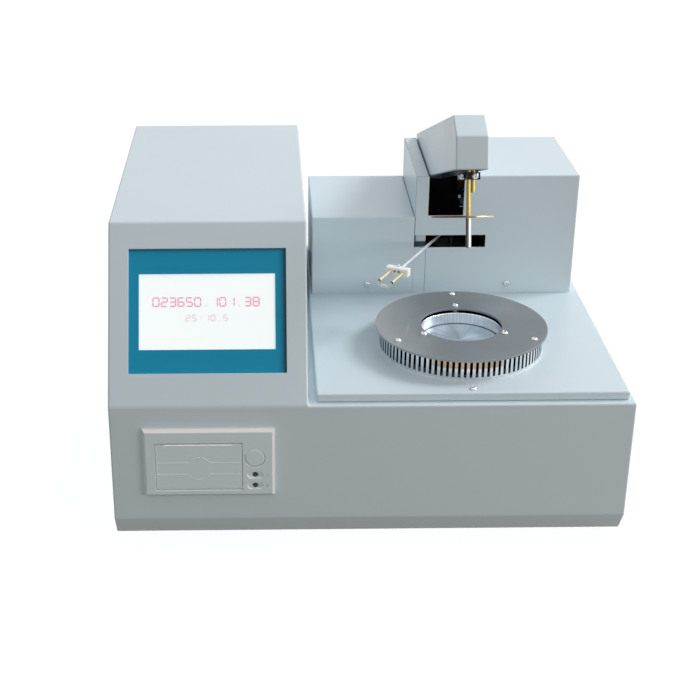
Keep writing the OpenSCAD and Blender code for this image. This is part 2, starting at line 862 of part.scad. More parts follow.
module work_deck() {
    color(paint) in_case() difference() {
        box([deck_left, deck_front, base_h], [deck_right, deck_rear, deck_top]);
        box(
            [deck_left + deck_t, deck_front + deck_t, base_h - cut],
            [deck_right - deck_t, deck_rear - deck_t, deck_top - deck_t]
        );
        translate([heater_x, heater_y, deck_top - deck_t]) bore(deck_t, deck_hole_r);
        screw_holes(concat(deck_screws, bracket_screws));
    }
}

// Tabs that the hood is screwed to
module hood_tabs() {
    color(paint) in_case() difference() {
        for (x = [hood_screw_low_x, hood_screw_tall_x])
            for (y = [hood_front + deck_t, hood_rear - 2 * deck_t])
                box([x - hood_tab_w / 2, y, deck_top], [x + hood_tab_w / 2, y + deck_t, deck_top + hood_tab_h]);
        screw_holes(hood_screws);
    }
}

module hood_low() {
    color(paint) in_case() difference() {
        box([hood_left, hood_front, deck_top], [step_x, hood_rear, low_top]);
        box(
            [hood_left + deck_t, hood_front + deck_t, deck_top - cut],
            [step_x + cut, hood_rear - deck_t, low_top - deck_t]
        );
        screw_holes(hood_screws);
    }
}

module hood_tall() {
    color(paint) in_case() difference() {
        box([step_x, hood_front, deck_top], [hood_right, hood_rear, tall_top]);
        box(
            [step_x + deck_t, hood_front + deck_t, deck_top - cut],
            [hood_right - deck_t, hood_rear - deck_t, tall_top - deck_t]
        );
        box([opening_left, hood_front - cut, sill_z], [opening_right, hood_rear + cut, tall_top + cut]);
        box([step_x - cut, hood_front - cut, slot_z], [step_x + slot_len, hood_front + deck_t, slot_top]);
        box([step_x - cut, hood_front - cut, deck_top - cut], [step_x + strip_w, hood_front + deck_t, slot_z + cut]);
        screw_holes(hood_screws);
    }
}

// The strip that closes the notch below the igniter slot, set back behind the slot
module closing_strip() {
    strip_right = step_x + strip_w - 2 * strip_gap;
    color(paint) in_case() {
        box([step_x + strip_gap, hood_front + strip_gap, deck_top], [strip_right, hood_front + strip_gap + strip_t, slot_z]);
        box(
            [step_x + deck_t + strip_gap, hood_front + strip_gap, slot_z - strip_t],
            [strip_right, hood_front + strip_back + strip_t, slot_z]
        );
        box(
            [step_x + deck_t + strip_gap, hood_front + strip_back, slot_z - strip_t],
            [strip_right, hood_front + strip_back + strip_t, slot_top + 2]
        );
    }
}

module screen_panel() {
    x0 = case_left + screen_left;
    color(teal) in_case() on_slope() difference() {
        box(
            [x0 - screen_lap, screen_up - screen_lap, -sheet - screen_panel_t],
            [x0 + screen_w + screen_lap, screen_up + screen_h + screen_lap, -sheet]
        );
        box(
            [x0 + window_left, screen_up + window_up, -sheet - screen_panel_t - cut],
            [x0 + window_left + window_w, screen_up + window_up + window_h, -sheet + cut]
        );
    }
}

module display_module() {
    x0 = case_left + screen_left + window_left;
    s0 = screen_up + window_up;
    back_z = -sheet - screen_panel_t;
    color("white") in_case() on_slope() {
        box(
            [x0 + panel_gap, s0 + panel_gap, back_z - cut],
            [x0 + window_w - panel_gap, s0 + window_h - panel_gap, -sheet - glass_set_back]
        );
        box([x0 - 5, s0 - 5, back_z - display_t], [x0 + window_w + 5, s0 + window_h + 5, back_z]);
    }
}

module controller_board() {
    color("seagreen") in_case() translate([case_left + board_in, board_back, sheet + plate_t]) {
        for (x = [stand_in, board_w - stand_in]) for (y = [stand_in, board_d - stand_in])
            translate([x, y, 0]) cylinder(h = stand_h, r = stand_in / 2);
        box([0, 0, stand_h], [board_w, board_d, stand_h + board_t]);
        for (c = board_blocks) box([c[0], c[1], stand_h], [c[2], c[3], stand_h + c[4]]);
    }
}

module power_supply() {
    color(steel) in_case() translate([tower_right + supply_in, supply_front, sheet + plate_t]) {
        box([0, 0, 0], [supply_w, supply_d, supply_h]);
        box([supply_step, -supply_step, 0], [supply_w - supply_step, 0, 0.4 * supply_h]);
    }
}

// Places copies round the heater's middle on a circle
module round_heater(circle, z) {
    for (a = disc_screw_angles)
        translate([heater_x + circle * cos(a), heater_y + circle * sin(a), z]) children();
}

module heater_cover_disc() {
    color(steel) in_case() difference() {
        translate([heater_x, heater_y, disc_z]) difference() {
            cylinder(h = disc_t, r = disc_r, $fn = 128);
            bore(disc_t, disc_hole_r, $fn = 128);
        }
        for (circle = [outer_screw_circle, inner_screw_circle])
            round_heater(circle, disc_z) bore(disc_t, screw_r + screw_gap, $fn = 32);
    }
}

module disc_screws() {
    color(bright_steel) in_case()
        for (circle = [outer_screw_circle, inner_screw_circle])
            round_heater(circle, disc_top) screw();
}

module ring(outer) {
    difference() {
        circle(r = outer, $fn = 128);
        circle(r = outer - skirt_t, $fn = 128);
    }
}

module slotted_skirt() {
    color(bright_steel) in_case() translate([heater_x, heater_y, deck_top]) {
        linear_extrude(slot_up) ring(skirt_r);
        linear_extrude(skirt_h) difference() {
            ring(skirt_r);
            for (i = [0 : slot_count - 1]) rotate((i + 0.5) * 360 / slot_count)
                translate([skirt_r - 2 * skirt_t, -slot_w / 2]) square([3 * skirt_t, slot_w]);
        }
    }
}

module disc_pillars() {
    color(steel) in_case() {
        round_heater(outer_screw_circle, deck_top) difference() {
            cylinder(h = skirt_h, r = pillar_r, $fn = 32);
            bore(skirt_h, screw_r + 0.1, $fn = 32);
        }
        round_heater(inner_screw_circle, block_top) difference() {
            cylinder(h = disc_air_gap, r = spacer_r, $fn = 32);
            bore(disc_air_gap, screw_r + 0.1, $fn = 32);
        }
    }
}

module heater_block() {
    color(bright_steel) in_case() difference() {
        union() {
            translate([heater_x, heater_y, 0]) rotate_extrude($fn = 128) polygon([
                [0, boss_base], [boss_r, boss_base], [boss_r, block_base], [block_r, block_base],
                [block_r, block_top], [cup_bore_r + mouth_bevel, block_top],
                [cup_bore_r, block_top - mouth_bevel], [cup_bore_r, cup_floor], [0, cup_floor]
            ]);
            round_heater(-leg_circle, deck_top) cylinder(h = block_air_gap + cut, r = leg_r);
        }
        round_heater(inner_screw_circle, block_top - screw_len)
            cylinder(h = screw_len + cut, r = screw_r + screw_gap, $fn = 32);
    }
}

module heating_element() {
    color(ceramic_white) in_case() translate([heater_x, heater_y, boss_base - element_t]) difference() {
        cylinder(h = element_t, r = element_r);
        bore(element_t, element_hole_r);
    }
}

module heater_insulation() {
    color("ivory") in_case() translate([heater_x, heater_y, 0]) difference() {
        translate([0, 0, pan_base + pan_t]) cylinder(h = deck_top - deck_t - pan_base - pan_t, r = insulation_r);
        translate([0, 0, boss_base - element_t]) cylinder(h = pan_depth, r = boss_r + 0.4);
    }
}

module heater_pan() {
    color(steel) in_case() translate([heater_x, heater_y, 0]) difference() {
        union() {
            translate([0, 0, pan_base]) cylinder(h = pan_depth - deck_t, r = pan_r + pan_t);
            translate([0, 0, deck_top - deck_t - pan_t]) cylinder(h = pan_t, r = pan_flange_r);
        }
        translate([0, 0, pan_base + pan_t]) cylinder(h = pan_depth, r = pan_r);
    }
}

// A bracket plate with its foot turned to the right
module bracket(x, y0, y1) {
    box([x, y0, deck_top], [x + bracket_t, y1, bracket_top]);
    box([x, y0, deck_top], [x + bracket_t + bracket_foot, y1, deck_top + bracket_t]);
}

module arm_brackets() {
    rear = hood_rear - deck_t - 2;
    color(steel) in_case() difference() {
        union() {
            bracket(bracket_left_x, pivot_y - bracket_half, rear);
            bracket(bracket_right_x, pinion_y - motor_size / 2, rear);
        }
        translate([0, pivot_y, pivot_z]) rod_x(bracket_left_x - cut, bracket_right_x + bracket_t + cut, bush_r + 0.02);
        translate([0, pinion_y, pinion_z])
            rod_x(bracket_right_x - cut, bracket_right_x + bracket_t + cut, motor_pilot_r + fit_gap);
        screw_holes(bracket_screws);
    }
}

// A flanged bush, its flange on the inner side of the bracket
module bush(side) {
    difference() {
        union() {
            rod_x(0, bracket_t, bush_r);
            if (side < 0) rod_x(bracket_t, bracket_t + bush_flange_t, bush_flange_r);
            if (side > 0) rod_x(-bush_flange_t, 0, bush_flange_r);
        }
        rod_x(-bush_flange_t - cut, bracket_t + bush_flange_t + cut, shaft_r + run_gap);
    }
}

module shaft_bushes() {
    color(brass) in_case() {
        translate([bracket_left_x, pivot_y, pivot_z]) bush(-1);
        translate([bracket_right_x, pivot_y, pivot_z]) bush(1);
    }
}

module lift_motor() {
    x = bracket_right_x;
    color(black_plastic) in_case() translate([0, pinion_y, pinion_z]) difference() {
        union() {
            box([x + bracket_t, -motor_size / 2, -motor_size / 2], [x + bracket_t + motor_len, motor_size / 2, motor_size / 2]);
            rod_x(x, x + bracket_t, motor_pilot_r);
        }
        rod_x(x - cut, x + bracket_t + motor_len / 2, pinion_bore_r + run_gap);
    }
}

module igniter_motor() {
    color(black_plastic) in_case() translate([igniter_x, igniter_y, deck_top]) difference() {
        cylinder(h = igniter_motor_h, r = igniter_motor_r);
        translate([0, 0, igniter_motor_h / 2]) cylinder(h = igniter_motor_h, r = igniter_shaft_r + run_gap);
    }
}

// The inlet's body behind the panel
module inlet_body(from, to, grow) {
    box(
        [-inlet_cavity_w / 2 - inlet_wall - grow, from, -inlet_cavity_h / 2 - inlet_wall - grow],
        [inlet_cavity_w / 2 + inlet_wall + grow, to, drawer_up + drawer_h + inlet_wall - 1 + grow]
    );
}

// Outline of the inlet cavity, with its two upper corners cut off
module inlet_outline() {
    w = inlet_cavity_w / 2;
    h = inlet_cavity_h / 2;
    c = 4.5;
    polygon([[-w, -h], [w, -h], [w, h - c], [w - c, h], [-w + c, h], [-w, h - c]]);
}

// The three blades, grown all round for their slots
module blade_set(from, to, grow) {
    for (p = [[-blade_side, -2], [blade_side, -2], [0, 2]])
        box(
            [p[0] - blade_t / 2 - grow, from, p[1] - blade_h / 2 - grow],
            [p[0] + blade_t / 2 + grow, to, p[1] + blade_h / 2 + grow]
        );
}

module mains_inlet() {
    face = case_d + flange_t;
    back_y = face - inlet_cavity_d - inlet_wall;
    color(black_plastic) in_case() difference() {
        translate([inlet_x, 0, inlet_up]) difference() {
            union() {
                box([-inlet_w / 2, case_d, -inlet_below], [inlet_w / 2, face, inlet_above]);
                inlet_body(back_y, case_d + cut, 0);
            }
            along_y(face - inlet_cavity_d, face + cut) inlet_outline();
            blade_set(back_y - cut, face, fit_gap);
            box(
                [-drawer_w / 2 - drawer_gap, face - drawer_len, drawer_up - drawer_gap],
                [drawer_w / 2 + drawer_gap, face + cut, drawer_up + drawer_h + drawer_gap]
            );
        }
        screw_holes(inlet_screws);
    }
}

module inlet_blades() {
    root = case_d + flange_t - inlet_cavity_d;
    color(brass) in_case() translate([inlet_x, 0, inlet_up]) blade_set(root - inlet_wall - blade_tail, root + blade_len, 0);
}

module fuse_drawer() {
    face = case_d + flange_t;
    color("dimgray") in_case() translate([inlet_x, 0, inlet_up]) difference() {
        box([-drawer_w / 2, face - drawer_len + 0.5, drawer_up], [drawer_w / 2, face + 1, drawer_up + drawer_h]);
        box([-drawer_w / 2 + 2, face - drawer_len + 2, drawer_up + 1.2], [drawer_w / 2 - 2, face - 2, drawer_up + drawer_h + cut]);
    }
}

module switch_frame() {
    color(black_plastic) in_case() translate([switch_x, 0, switch_z]) difference() {
        union() {
            box(
                [-switch_hole_w - inlet_wall - switch_flange, case_d, -switch_hole_h - inlet_wall - switch_flange],
                [switch_hole_w + inlet_wall + switch_flange, case_d + flange_t, switch_hole_h + inlet_wall + switch_flange]
            );
            box(
                [-switch_hole_w - inlet_wall, case_d - switch_depth, -switch_hole_h - inlet_wall],
                [switch_hole_w + inlet_wall, case_d + cut, switch_hole_h + inlet_wall]
            );
        }
        box([-switch_hole_w, case_d - switch_depth + 4, -switch_hole_h], [switch_hole_w, case_d + flange_t + cut, switch_hole_h]);
        translate([0, rocker_y, 0]) rod_x(-switch_hole_w - 1.4, switch_hole_w + 1.4, 1 + fit_gap);
    }
}

// A shallow V on a pivot pin
module power_rocker() {
    color("crimson") in_case() translate([switch_x, rocker_y, switch_z]) rotate([rocker_tilt, 0, 0]) {
        along_x(-rocker_w / 2, rocker_w / 2) polygon([
            [-5, -3], [1.5, -rocker_half], [3.4, -rocker_half], [2.6, 0],
            [3.4, rocker_half], [1.5, rocker_half], [-5, 3]
        ]);
        rod_x(-switch_hole_w - 1.2, switch_hole_w + 1.2, 1);
    }
}

module fan_frame() {
    half = fan_size / 2;
    color(black_plastic) in_case() difference() {
        translate([fan_x, 0, fan_up]) difference() {
            box([-half, panel_y - fan_depth, -half], [half, panel_y, half]);
            difference() {
                rod_y(panel_y - fan_depth - cut, panel_y + cut, fan_bore_r);
                rod_y(panel_y - fan_depth, panel_y - fan_depth + 2, fan_hub_r);
                for (a = [0 : 90 : 270]) rotate([0, a + 45, 0])
                    box([0, panel_y - fan_depth, -2], [fan_bore_r + cut, panel_y - fan_depth + 2, 2]);
            }
            rod_y(panel_y - fan_depth - cut, panel_y, 1.5 + run_gap);
        }
        screw_holes(guard_screws);
    }
}

module fan_rotor() {
    from = panel_y - fan_depth + 2.5;
    to = panel_y - 1;
    color("dimgray") in_case() translate([fan_x, 0, fan_up]) {
        rod_y(from, to, fan_hub_r);
        rod_y(panel_y - fan_depth + 0.3, from + cut, 1.5);
        for (i = [0 : fan_blades - 1]) rotate([0, i * 360 / fan_blades, 0])
            translate([0, (from + to) / 2, 0]) intersection() {
                translate([fan_hub_r - 2, 0, 0]) rotate([fan_blade_pitch, 0, 0])
                    box([0, -(to - from) / 2, -fan_blade_t / 2], [fan_bore_r - fan_hub_r + 1, (to - from) / 2, fan_blade_t / 2]);
                rod_y(-(to - from) / 2, (to - from) / 2, fan_bore_r - fan_blade_gap);
            }
    }
}

module fan_guard() {
    wire = guard_wire / 2;
    color(bright_steel) in_case() difference() {
        translate([fan_x, case_d, fan_up]) {
            for (i = [1 : 4]) translate([0, guard_wire + wire * 0.6, 0]) rotate([90, 0, 0])
                rotate_extrude() translate([i * (fan_bore_r - 2) / 4, 0]) circle(r = wire, $fn = 24);
            for (a = [45 : 90 : 315]) rotate([0, a, 0]) {
                translate([0, wire, 0]) rod_x(0, fan_pitch / sqrt(2) - 2, wire, $fn = 24);
                translate([fan_pitch / sqrt(2), 0, 0]) rod_y(0, guard_wire, 4.5);
            }
        }
        screw_holes(guard_screws);
    }
}

// The bezel: a plate with bevelled edges
module printer_bezel() {
    b = bezel_bevel;
    color(bezel_grey) in_case() difference() {
        intersection() {
            translate([0, 0, bezel_z]) linear_extrude(bezel_h) polygon([
                [bezel_x, 0], [bezel_x, -bezel_proud + b], [bezel_x + b, -bezel_proud],
                [bezel_x + bezel_w - b, -bezel_proud], [bezel_x + bezel_w, -bezel_proud + b],
                [bezel_x + bezel_w, 0]
            ]);
            along_x(bezel_x, bezel_x + bezel_w) polygon([
                [0, bezel_z], [-bezel_proud + b, bezel_z], [-bezel_proud, bezel_z + b],
                [-bezel_proud, bezel_z + bezel_h - b], [-bezel_proud + b, bezel_z + bezel_h],
                [0, bezel_z + bezel_h]
            ]);
        }
        box([door_x, -bezel_proud - cut, door_z], [door_x + door_w, cut, door_z + door_h]);
        translate([0, -door_hinge_y, door_hinge_z])
            rod_x(door_x - door_pin_len, door_x + door_w + door_pin_len, door_pin_r + run_gap);
        translate([button_x, 0, button_z]) rod_y(-bezel_proud - cut, cut, button_r + button_gap);
        for (z = [key_upper_z, key_lower_z]) translate([key_x, 0, z]) {
            reach = (key_recess_w - key_recess_h) / 2;
            box([-reach, -bezel_proud - cut, -key_recess_h / 2], [reach, -bezel_proud + key_recess_d, key_recess_h / 2]);
            for (sx = [-1, 1]) translate([sx * reach, 0, 0])
                rod_y(-bezel_proud - cut, -bezel_proud + key_recess_d, key_recess_h / 2);
            rod_y(-bezel_proud, cut, key_r + key_gap);
        }
    }
}

module printer_chassis() {
    bay_top = chassis_z + chassis_h - chassis_t;
    keys_x = bay_x + bay_w + chassis_t;
    color(black_plastic) in_case() difference() {
        box([chassis_x, 0, chassis_z], [chassis_x + chassis_w, chassis_d, chassis_z + chassis_h]);
        box([bay_x, chassis_t, bay_z], [bay_x + bay_w, chassis_d - chassis_t, bay_top]);
        box([bay_x, -cut, bay_z], [bay_x + bay_w, chassis_t + cut, door_top]);
        box([keys_x, chassis_t, chassis_z + chassis_t], [chassis_x + chassis_w - chassis_t, chassis_d + cut, bay_top]);
        translate([0, roll_y, roll_z]) rod_x(bay_x - 4, keys_x + cut, spindle_pin_r + run_gap);
        translate([0, platen_y, platen_z]) rod_x(bay_x - 4, keys_x + cut, platen_pin_r + run_gap);
        translate([button_x, 0, button_z]) rod_y(-cut, chassis_t + cut, button_stem_r + button_gap);
        for (z = [key_upper_z, key_lower_z]) translate([key_x, 0, z])
            rod_y(-cut, chassis_t + cut, key_stem_r + key_gap);
    }
}

// The door, rounded along its hinge edge, with a band and a disc grooved into its face
module printer_door() {
    x0 = door_x + door_gap;
    x1 = door_x + door_w - door_gap;
    band_z = door_z + door_band_up;
    disc_x = (x0 + x1) / 2;
    color(bezel_grey) in_case() {
        difference() {
            union() {
                box([x0, -door_face, door_hinge_z], [x1, -door_face + door_t, door_top]);
                translate([0, -door_hinge_y, door_hinge_z]) rod_x(x0, x1, door_t / 2);
            }
            for (s = [-1, 1]) translate([0, 0, band_z + s * door_band_h / 2]) {
                chord = sqrt(pow(door_disc_r, 2) - pow(door_band_h / 2, 2));
                box([x0 - cut, -door_face - cut, -groove_w / 2], [disc_x - chord, -door_face + groove_d, groove_w / 2]);
                box([disc_x + chord, -door_face - cut, -groove_w / 2], [x1 + cut, -door_face + groove_d, groove_w / 2]);
            }
            translate([disc_x, 0, band_z]) difference() {
                rod_y(-door_face - cut, -door_face + groove_d, door_disc_r + groove_w / 2);
                rod_y(-door_face - 2 * cut, -door_face + groove_d + cut, door_disc_r - groove_w / 2);
                box([-2 * door_disc_r, -door_face - 2 * cut, -door_band_h / 2], [2 * door_disc_r, 0, door_band_h / 2]);
            }
        }
        translate([0, -door_hinge_y, door_hinge_z])
            rod_x(x0 - door_pin_len + 0.2, x1 + door_pin_len - 0.2, door_pin_r, $fn = 32);
    }
}

module release_button() {
    back_y = -button_travel - 0.2;
    color(bezel_grey) in_case() translate([button_x, 0, button_z]) rotate([90, 0, 0]) {
        rotate_extrude() polygon([
            [0, -back_y], [button_r, -back_y], [button_r, bezel_proud - 0.7],
            [button_r - button_rim, bezel_proud], [0, bezel_proud]
        ]);
        translate([0, 0, -7]) cylinder(h = 7 - back_y + cut, r = button_stem_r);
    }
}

module key(z) {
    back_y = -key_travel - 0.2;
    color(black_plastic) in_case() translate([key_x, 0, z]) {
        rod_y(-bezel_proud + key_recess_d - 0.5, back_y, key_r);
        rod_y(back_y - cut, 6, key_stem_r);
    }
}

module upper_key() {
    key(key_upper_z);
}

module lower_key() {
    key(key_lower_z);
}

module paper_roll() {
    middle = bay_x + bay_w / 2;
    color("white") in_case() translate([0, roll_y, roll_z]) {
        difference() {
            rod_x(middle - roll_w / 2, middle + roll_w / 2, roll_r);
            rod_x(middle - roll_w, middle + roll_w, roll_core_r);
        }
        rod_x(bay_x + 0.4, bay_x + bay_w - 0.4, roll_core_r - 0.05);
        rod_x(bay_x - 3.6, bay_x + bay_w + chassis_t - 0.3, spindle_pin_r);
    }
}

module platen_roller() {
    color("dimgray") in_case() translate([0, platen_y, platen_z]) {
        rod_x(bay_x + 0.6, bay_x + bay_w - 0.6, platen_r);
        rod_x(bay_x - 3.6, bay_x + bay_w + chassis_t - 0.3, platen_pin_r);
    }
}

// Side outline of the arm cover, drawn in by an inset
module arm_outline(inset) {
    lean = inset * (norm([nose_run, nose_drop]) - nose_run) / nose_drop;
    rise = inset * (norm([nose_run, nose_drop]) - nose_drop) / nose_run;
    polygon([
        [-arm_front + inset, -arm_h / 2], [arm_tail - inset, -arm_h / 2],
        [arm_tail - inset, arm_h / 2 - inset], [-arm_front + nose_run + lean, arm_h / 2 - inset],
        [-arm_front + inset, arm_h / 2 - nose_drop - rise]
    ]);
}

module arm_cover() {
    color(paint) on_arm() difference() {
        along_x(arm_left, arm_right) arm_outline(0);
        along_x(arm_left + arm_t, arm_right - arm_t) union() {
            arm_outline(arm_t);
            translate([-arm_front + arm_t, -arm_h / 2 - cut])
                square([arm_front + arm_tail - 2 * arm_t, 2 * cut]);
        }
        rod_x(arm_left - cut, arm_right + cut, shaft_r + 0.3);
    }
}

// Holes for the ring tube and the wire tube
module tube_holes() {
    translate([probe_x, -probe_l, -arm_h]) cylinder(h = arm_h, r = ring_tube_r + fit_gap);
    translate([probe_x + wire_tube_right, -probe_l, -arm_h]) cylinder(h = arm_h, r = wire_tube_r + fit_gap);
}

// A channel inside the cover, with a shelf that carries the probe
module arm_frame() {
    left = arm_left + arm_t;
    right = arm_right - arm_t;
    tail = arm_tail - arm_t - 1;
    color(steel) on_arm() difference() {
        union() {
            difference() {
                box([left, -frame_front, -frame_floor], [right, tail, frame_top]);
                box([left + frame_t, -frame_front - cut, -arm_h], [right - frame_t, tail + cut, frame_top - frame_t]);
            }
            box([left, -probe_l - shelf_half, -frame_floor], [right, -probe_l + shelf_half, -frame_floor + frame_t]);
        }
        rod_x(left - cut, right + cut, hub_bore_r);
        tube_holes();
    }
}

module arm_shaft() {
    color(bright_steel) on_arm() rod_x(shaft_left, shaft_right, shaft_r);
}

// Angle between the tooth's middle and its flank at a radius, for an involute tooth
function involute_turn(a) = tan(a) * 180 / PI - a;
function half_tooth(teeth, pitch_r, base_r, r) =
    90 / teeth - tooth_thin / pitch_r * 180 / PI + involute_turn(pressure_angle)
        - involute_turn(acos(base_r / max(r, base_r)));

module tooth(teeth) {
    steps = 5;
    pitch_r = gear_module * teeth / 2;
    base_r = pitch_r * cos(pressure_angle);
    root_r = pitch_r - 1.25 * gear_module;
    tip_r = pitch_r + gear_module;
    radii = [for (i = [0 : steps]) root_r + (tip_r - root_r) * i / steps];
    flank = [for (r = radii) [r * cos(half_tooth(teeth, pitch_r, base_r, r)), r * sin(half_tooth(teeth, pitch_r, base_r, r))]];
    deep = root_r - 0.5;
    spread = half_tooth(teeth, pitch_r, base_r, root_r);
    polygon(concat(
        [[deep * cos(spread), -deep * sin(spread)]],
        [for (p = flank) [p[0], -p[1]]],
        [for (i = [steps : -1 : 0]) flank[i]],
        [[deep * cos(spread), deep * sin(spread)]]
    ));
}

// The toothed sector on the arm's shaft
module sector_gear() {
    pitch_turn = 360 / gear_teeth;
    to_pinion = -90 - pinion_angle;
    before = ceil(sector_spare / pitch_turn) + 1;
    after = ceil((arm_raise + sector_spare) / pitch_turn) + 1;
    root_r = gear_pitch_r - 1.25 * gear_module;
    a0 = to_pinion + arm_raise - (after + 0.5) * pitch_turn;
    a1 = to_pinion + arm_raise + (before + 0.5) * pitch_turn;
    color(brass) on_arm() difference() {
        union() {
            along_x(gear_x, gear_x + gear_w) union() {
                circle(r = gear_hub_r);
                intersection() {
                    circle(r = root_r, $fn = 128);
                    polygon([[0, 0], 2 * root_r * [cos(a0), sin(a0)], 2 * root_r * [cos((a0 + a1) / 2), sin((a0 + a1) / 2)],
                        2 * root_r * [cos(a1), sin(a1)]]);
                }
                for (i = [-after : before]) rotate(to_pinion + arm_raise + i * pitch_turn) tooth(gear_teeth);
            }
            rod_x(gear_x - gear_hub_len, gear_x, gear_hub_r);
        }
        rod_x(gear_x - gear_hub_len - cut, gear_x + gear_w + cut, hub_bore_r);
    }
}

module lift_pinion() {
    x = bracket_right_x;
    to_gear = 90 - pinion_angle;
    color(bright_steel) in_case() translate([0, pinion_y, pinion_z]) {
        along_x(gear_x - 0.5, gear_x + gear_w + 0.5) {
            circle(r = pinion_pitch_r - 1.25 * gear_module);
            for (i = [0 : pinion_teeth - 1]) rotate(to_gear + (i + 0.5) * 360 / pinion_teeth) tooth(pinion_teeth);
        }
        rod_x(gear_x - 2, x + bracket_t + motor_len / 2 - 1, pinion_bore_r);
    }
}

// The hanger below the shelf, which carries the clamp block
module probe_bracket() {
    color(steel) on_arm() box(
        [clamp_left - hanger_w, -hanger_l - hanger_t, -clamp_drop - clamp_h],
        [clamp_left + clamp_w, -hanger_l, -frame_floor]
    );
}

module probe_clamp() {
    color(black_plastic) on_arm() difference() {
        box(
            [clamp_left, -hanger_l - hanger_t - clamp_d, -clamp_drop - clamp_h],
            [clamp_left + clamp_w, -hanger_l - hanger_t, -clamp_drop]
        );
        tube_holes();
    }
}

module clamp_screws() {
    face = hanger_l + hanger_t + clamp_d;
    color(bright_steel) on_arm() {
        translate([clamp_left + 0.6 * clamp_w, -face, -clamp_drop - clamp_h / 2]) rotate(front) screw_head();
        translate([clamp_left - hanger_w / 2, -hanger_l - hanger_t, -clamp_drop - clamp_h / 2]) rotate(front) screw_head();
    }
}

module wire_tube() {
    color(brass) on_arm() translate([probe_x + wire_tube_right, -probe_l, -wire_tube_drop]) difference() {
        cylinder(h = wire_tube_drop - tube_top_drop, r = wire_tube_r, $fn = 32);
        translate([0, 0, -cut]) cylinder(h = 6, r = wire_tube_r - 0.5, $fn = 32);
    }
}

module ring_tube() {
    color(brass) on_arm() translate([probe_x, -probe_l, -ring_drop - ring_wire_r])
        cylinder(h = ring_drop + ring_wire_r - tube_top_drop, r = ring_tube_r, $fn = 32);
}

// The ring and its spoke, soldered to a collar on the tube
module detection_ring() {
    dx = ring_x - probe_x;
    dl = ring_l - probe_l;
    rim = sqrt(pow(ring_r, 2) - pow(dx, 2)) - dl;
    color(brass) on_arm() translate([0, 0, -ring_drop]) {
        translate([ring_x, -ring_l, 0]) rotate_extrude($fn = 96) translate([ring_r, 0]) circle(r = ring_wire_r, $fn = 24);
        translate([probe_x, -probe_l, 0]) {
            rod_y(-rim, -ring_tube_r - 0.2, ring_wire_r, $fn = 24);
            translate([0, 0, -collar_h / 2]) difference() {
                cylinder(h = collar_h, r = collar_r);
                bore(collar_h, ring_tube_r + fit_gap);
            }
        }
    }
}

module temperature_probe() {
    top = -ring_drop - collar_h / 2;
    color(bright_steel) on_arm() translate([probe_x, -probe_l, 0]) rotate_extrude() polygon([
        [0, -probe_drop], [probe_r - 0.6, -probe_drop], [probe_r, -probe_drop + 0.6], [probe_r, top], [0, top]
    ]);
}

module igniter_hub() {
    shaft_len = igniter_up - igniter_motor_h / 2 - igniter_hub_h / 2 - 1;
    color(steel) on_igniter() difference() {
        union() {
            translate([0, 0, -igniter_hub_h / 2]) cylinder(h = igniter_hub_h, r = igniter_hub_r);
            translate([0, 0, -igniter_hub_h / 2 - shaft_len]) cylinder(h = shaft_len + cut, r = igniter_shaft_r);
        }
        rod_y(-igniter_hub_r - cut, igniter_hub_r + cut, igniter_rod_r + fit_gap);
    }
}

module igniter_rod() {
    color(bright_steel) on_igniter() rod_y(-ceramic_back - ceramic_d / 2, igniter_hub_r + rod_tail, igniter_rod_r);
}

module ceramic_block() {
    color(ceramic_white) on_igniter() difference() {
        box([-ceramic_w / 2, -ceramic_front, -ceramic_h / 2], [ceramic_w / 2, -ceramic_back, ceramic_h / 2]);
        rod_y(-ceramic_back - ceramic_d / 2 - 0.1, -ceramic_back + cut, igniter_rod_r + fit_gap);
        for (s = [-1, 1]) translate([s * post_pitch / 2, 0, 0])
            rod_y(-ceramic_front - cut, -ceramic_back + cut, post_r + fit_gap);
        translate([0, -ceramic_back - ceramic_d / 4, igniter_rod_r]) cylinder(h = ceramic_h, r = 1);
    }
}

module electrode_posts() {
    color(brass) on_igniter() for (s = [-1, 1]) translate([s * post_pitch / 2, 0, 0]) difference() {
        rod_y(-igniter_reach, -ceramic_back + 3, post_r);
        rod_y(-igniter_reach - cut, -igniter_reach + 4, 0.8);
    }
}

// A short coil on two leads that drop from the ends of the posts
module glow_coil() {
    z = -coil_drop;
    y = -igniter_reach - coil_ahead;
    half = post_pitch / 2;
    color(ceramic_white) on_igniter() {
        translate([0, y, z]) rod_x(-coil_len / 2, coil_len / 2, coil_r);
        for (s = [-1, 1]) {
            translate([s * half, 0, 0]) rod_y(y, -igniter_reach + 3, lead_r);
            translate([s * half, y, z - lead_r]) cylinder(h = coil_drop + 2 * lead_r, r = lead_r);
            translate([0, y, z]) rod_x(min(0, s * half), max(0, s * half), lead_r);
        }
    }
}

module igniter_screws() {
    color(bright_steel) on_igniter() {
        translate([0, -ceramic_back - ceramic_d / 4, igniter_rod_r + fit_gap]) cylinder(h = ceramic_h / 2 + 1.2, r = 0.95);
        translate([0, 0, igniter_hub_h / 2]) screw_head();
    }
}

housing();
base_plate();
rear_panel();
case_screws();
feet();
work_deck();
hood_tabs();
hood_low();
hood_tall();
closing_strip();
screen_panel();
display_module();
controller_board();
power_supply();
heater_cover_disc();
disc_screws();
slotted_skirt();
disc_pillars();
heater_block();
heating_element();
heater_insulation();
heater_pan();
arm_brackets();
shaft_bushes();
lift_motor();
igniter_motor();
mains_inlet();
inlet_blades();
switch_frame();
fan_frame();
fan_guard();
printer_bezel();
printer_chassis();
arm_cover();
arm_frame();
arm_shaft();
sector_gear();
probe_bracket();
probe_clamp();
clamp_screws();
wire_tube();
ring_tube();
detection_ring();
temperature_probe();
igniter_hub();
igniter_rod();
ceramic_block();
electrode_posts();
glow_coil();
igniter_screws();
lift_pinion();
printer_door();
release_button();
upper_key();
lower_key();
power_rocker();
fuse_drawer();
fan_rotor();
paper_roll();
platen_roller();
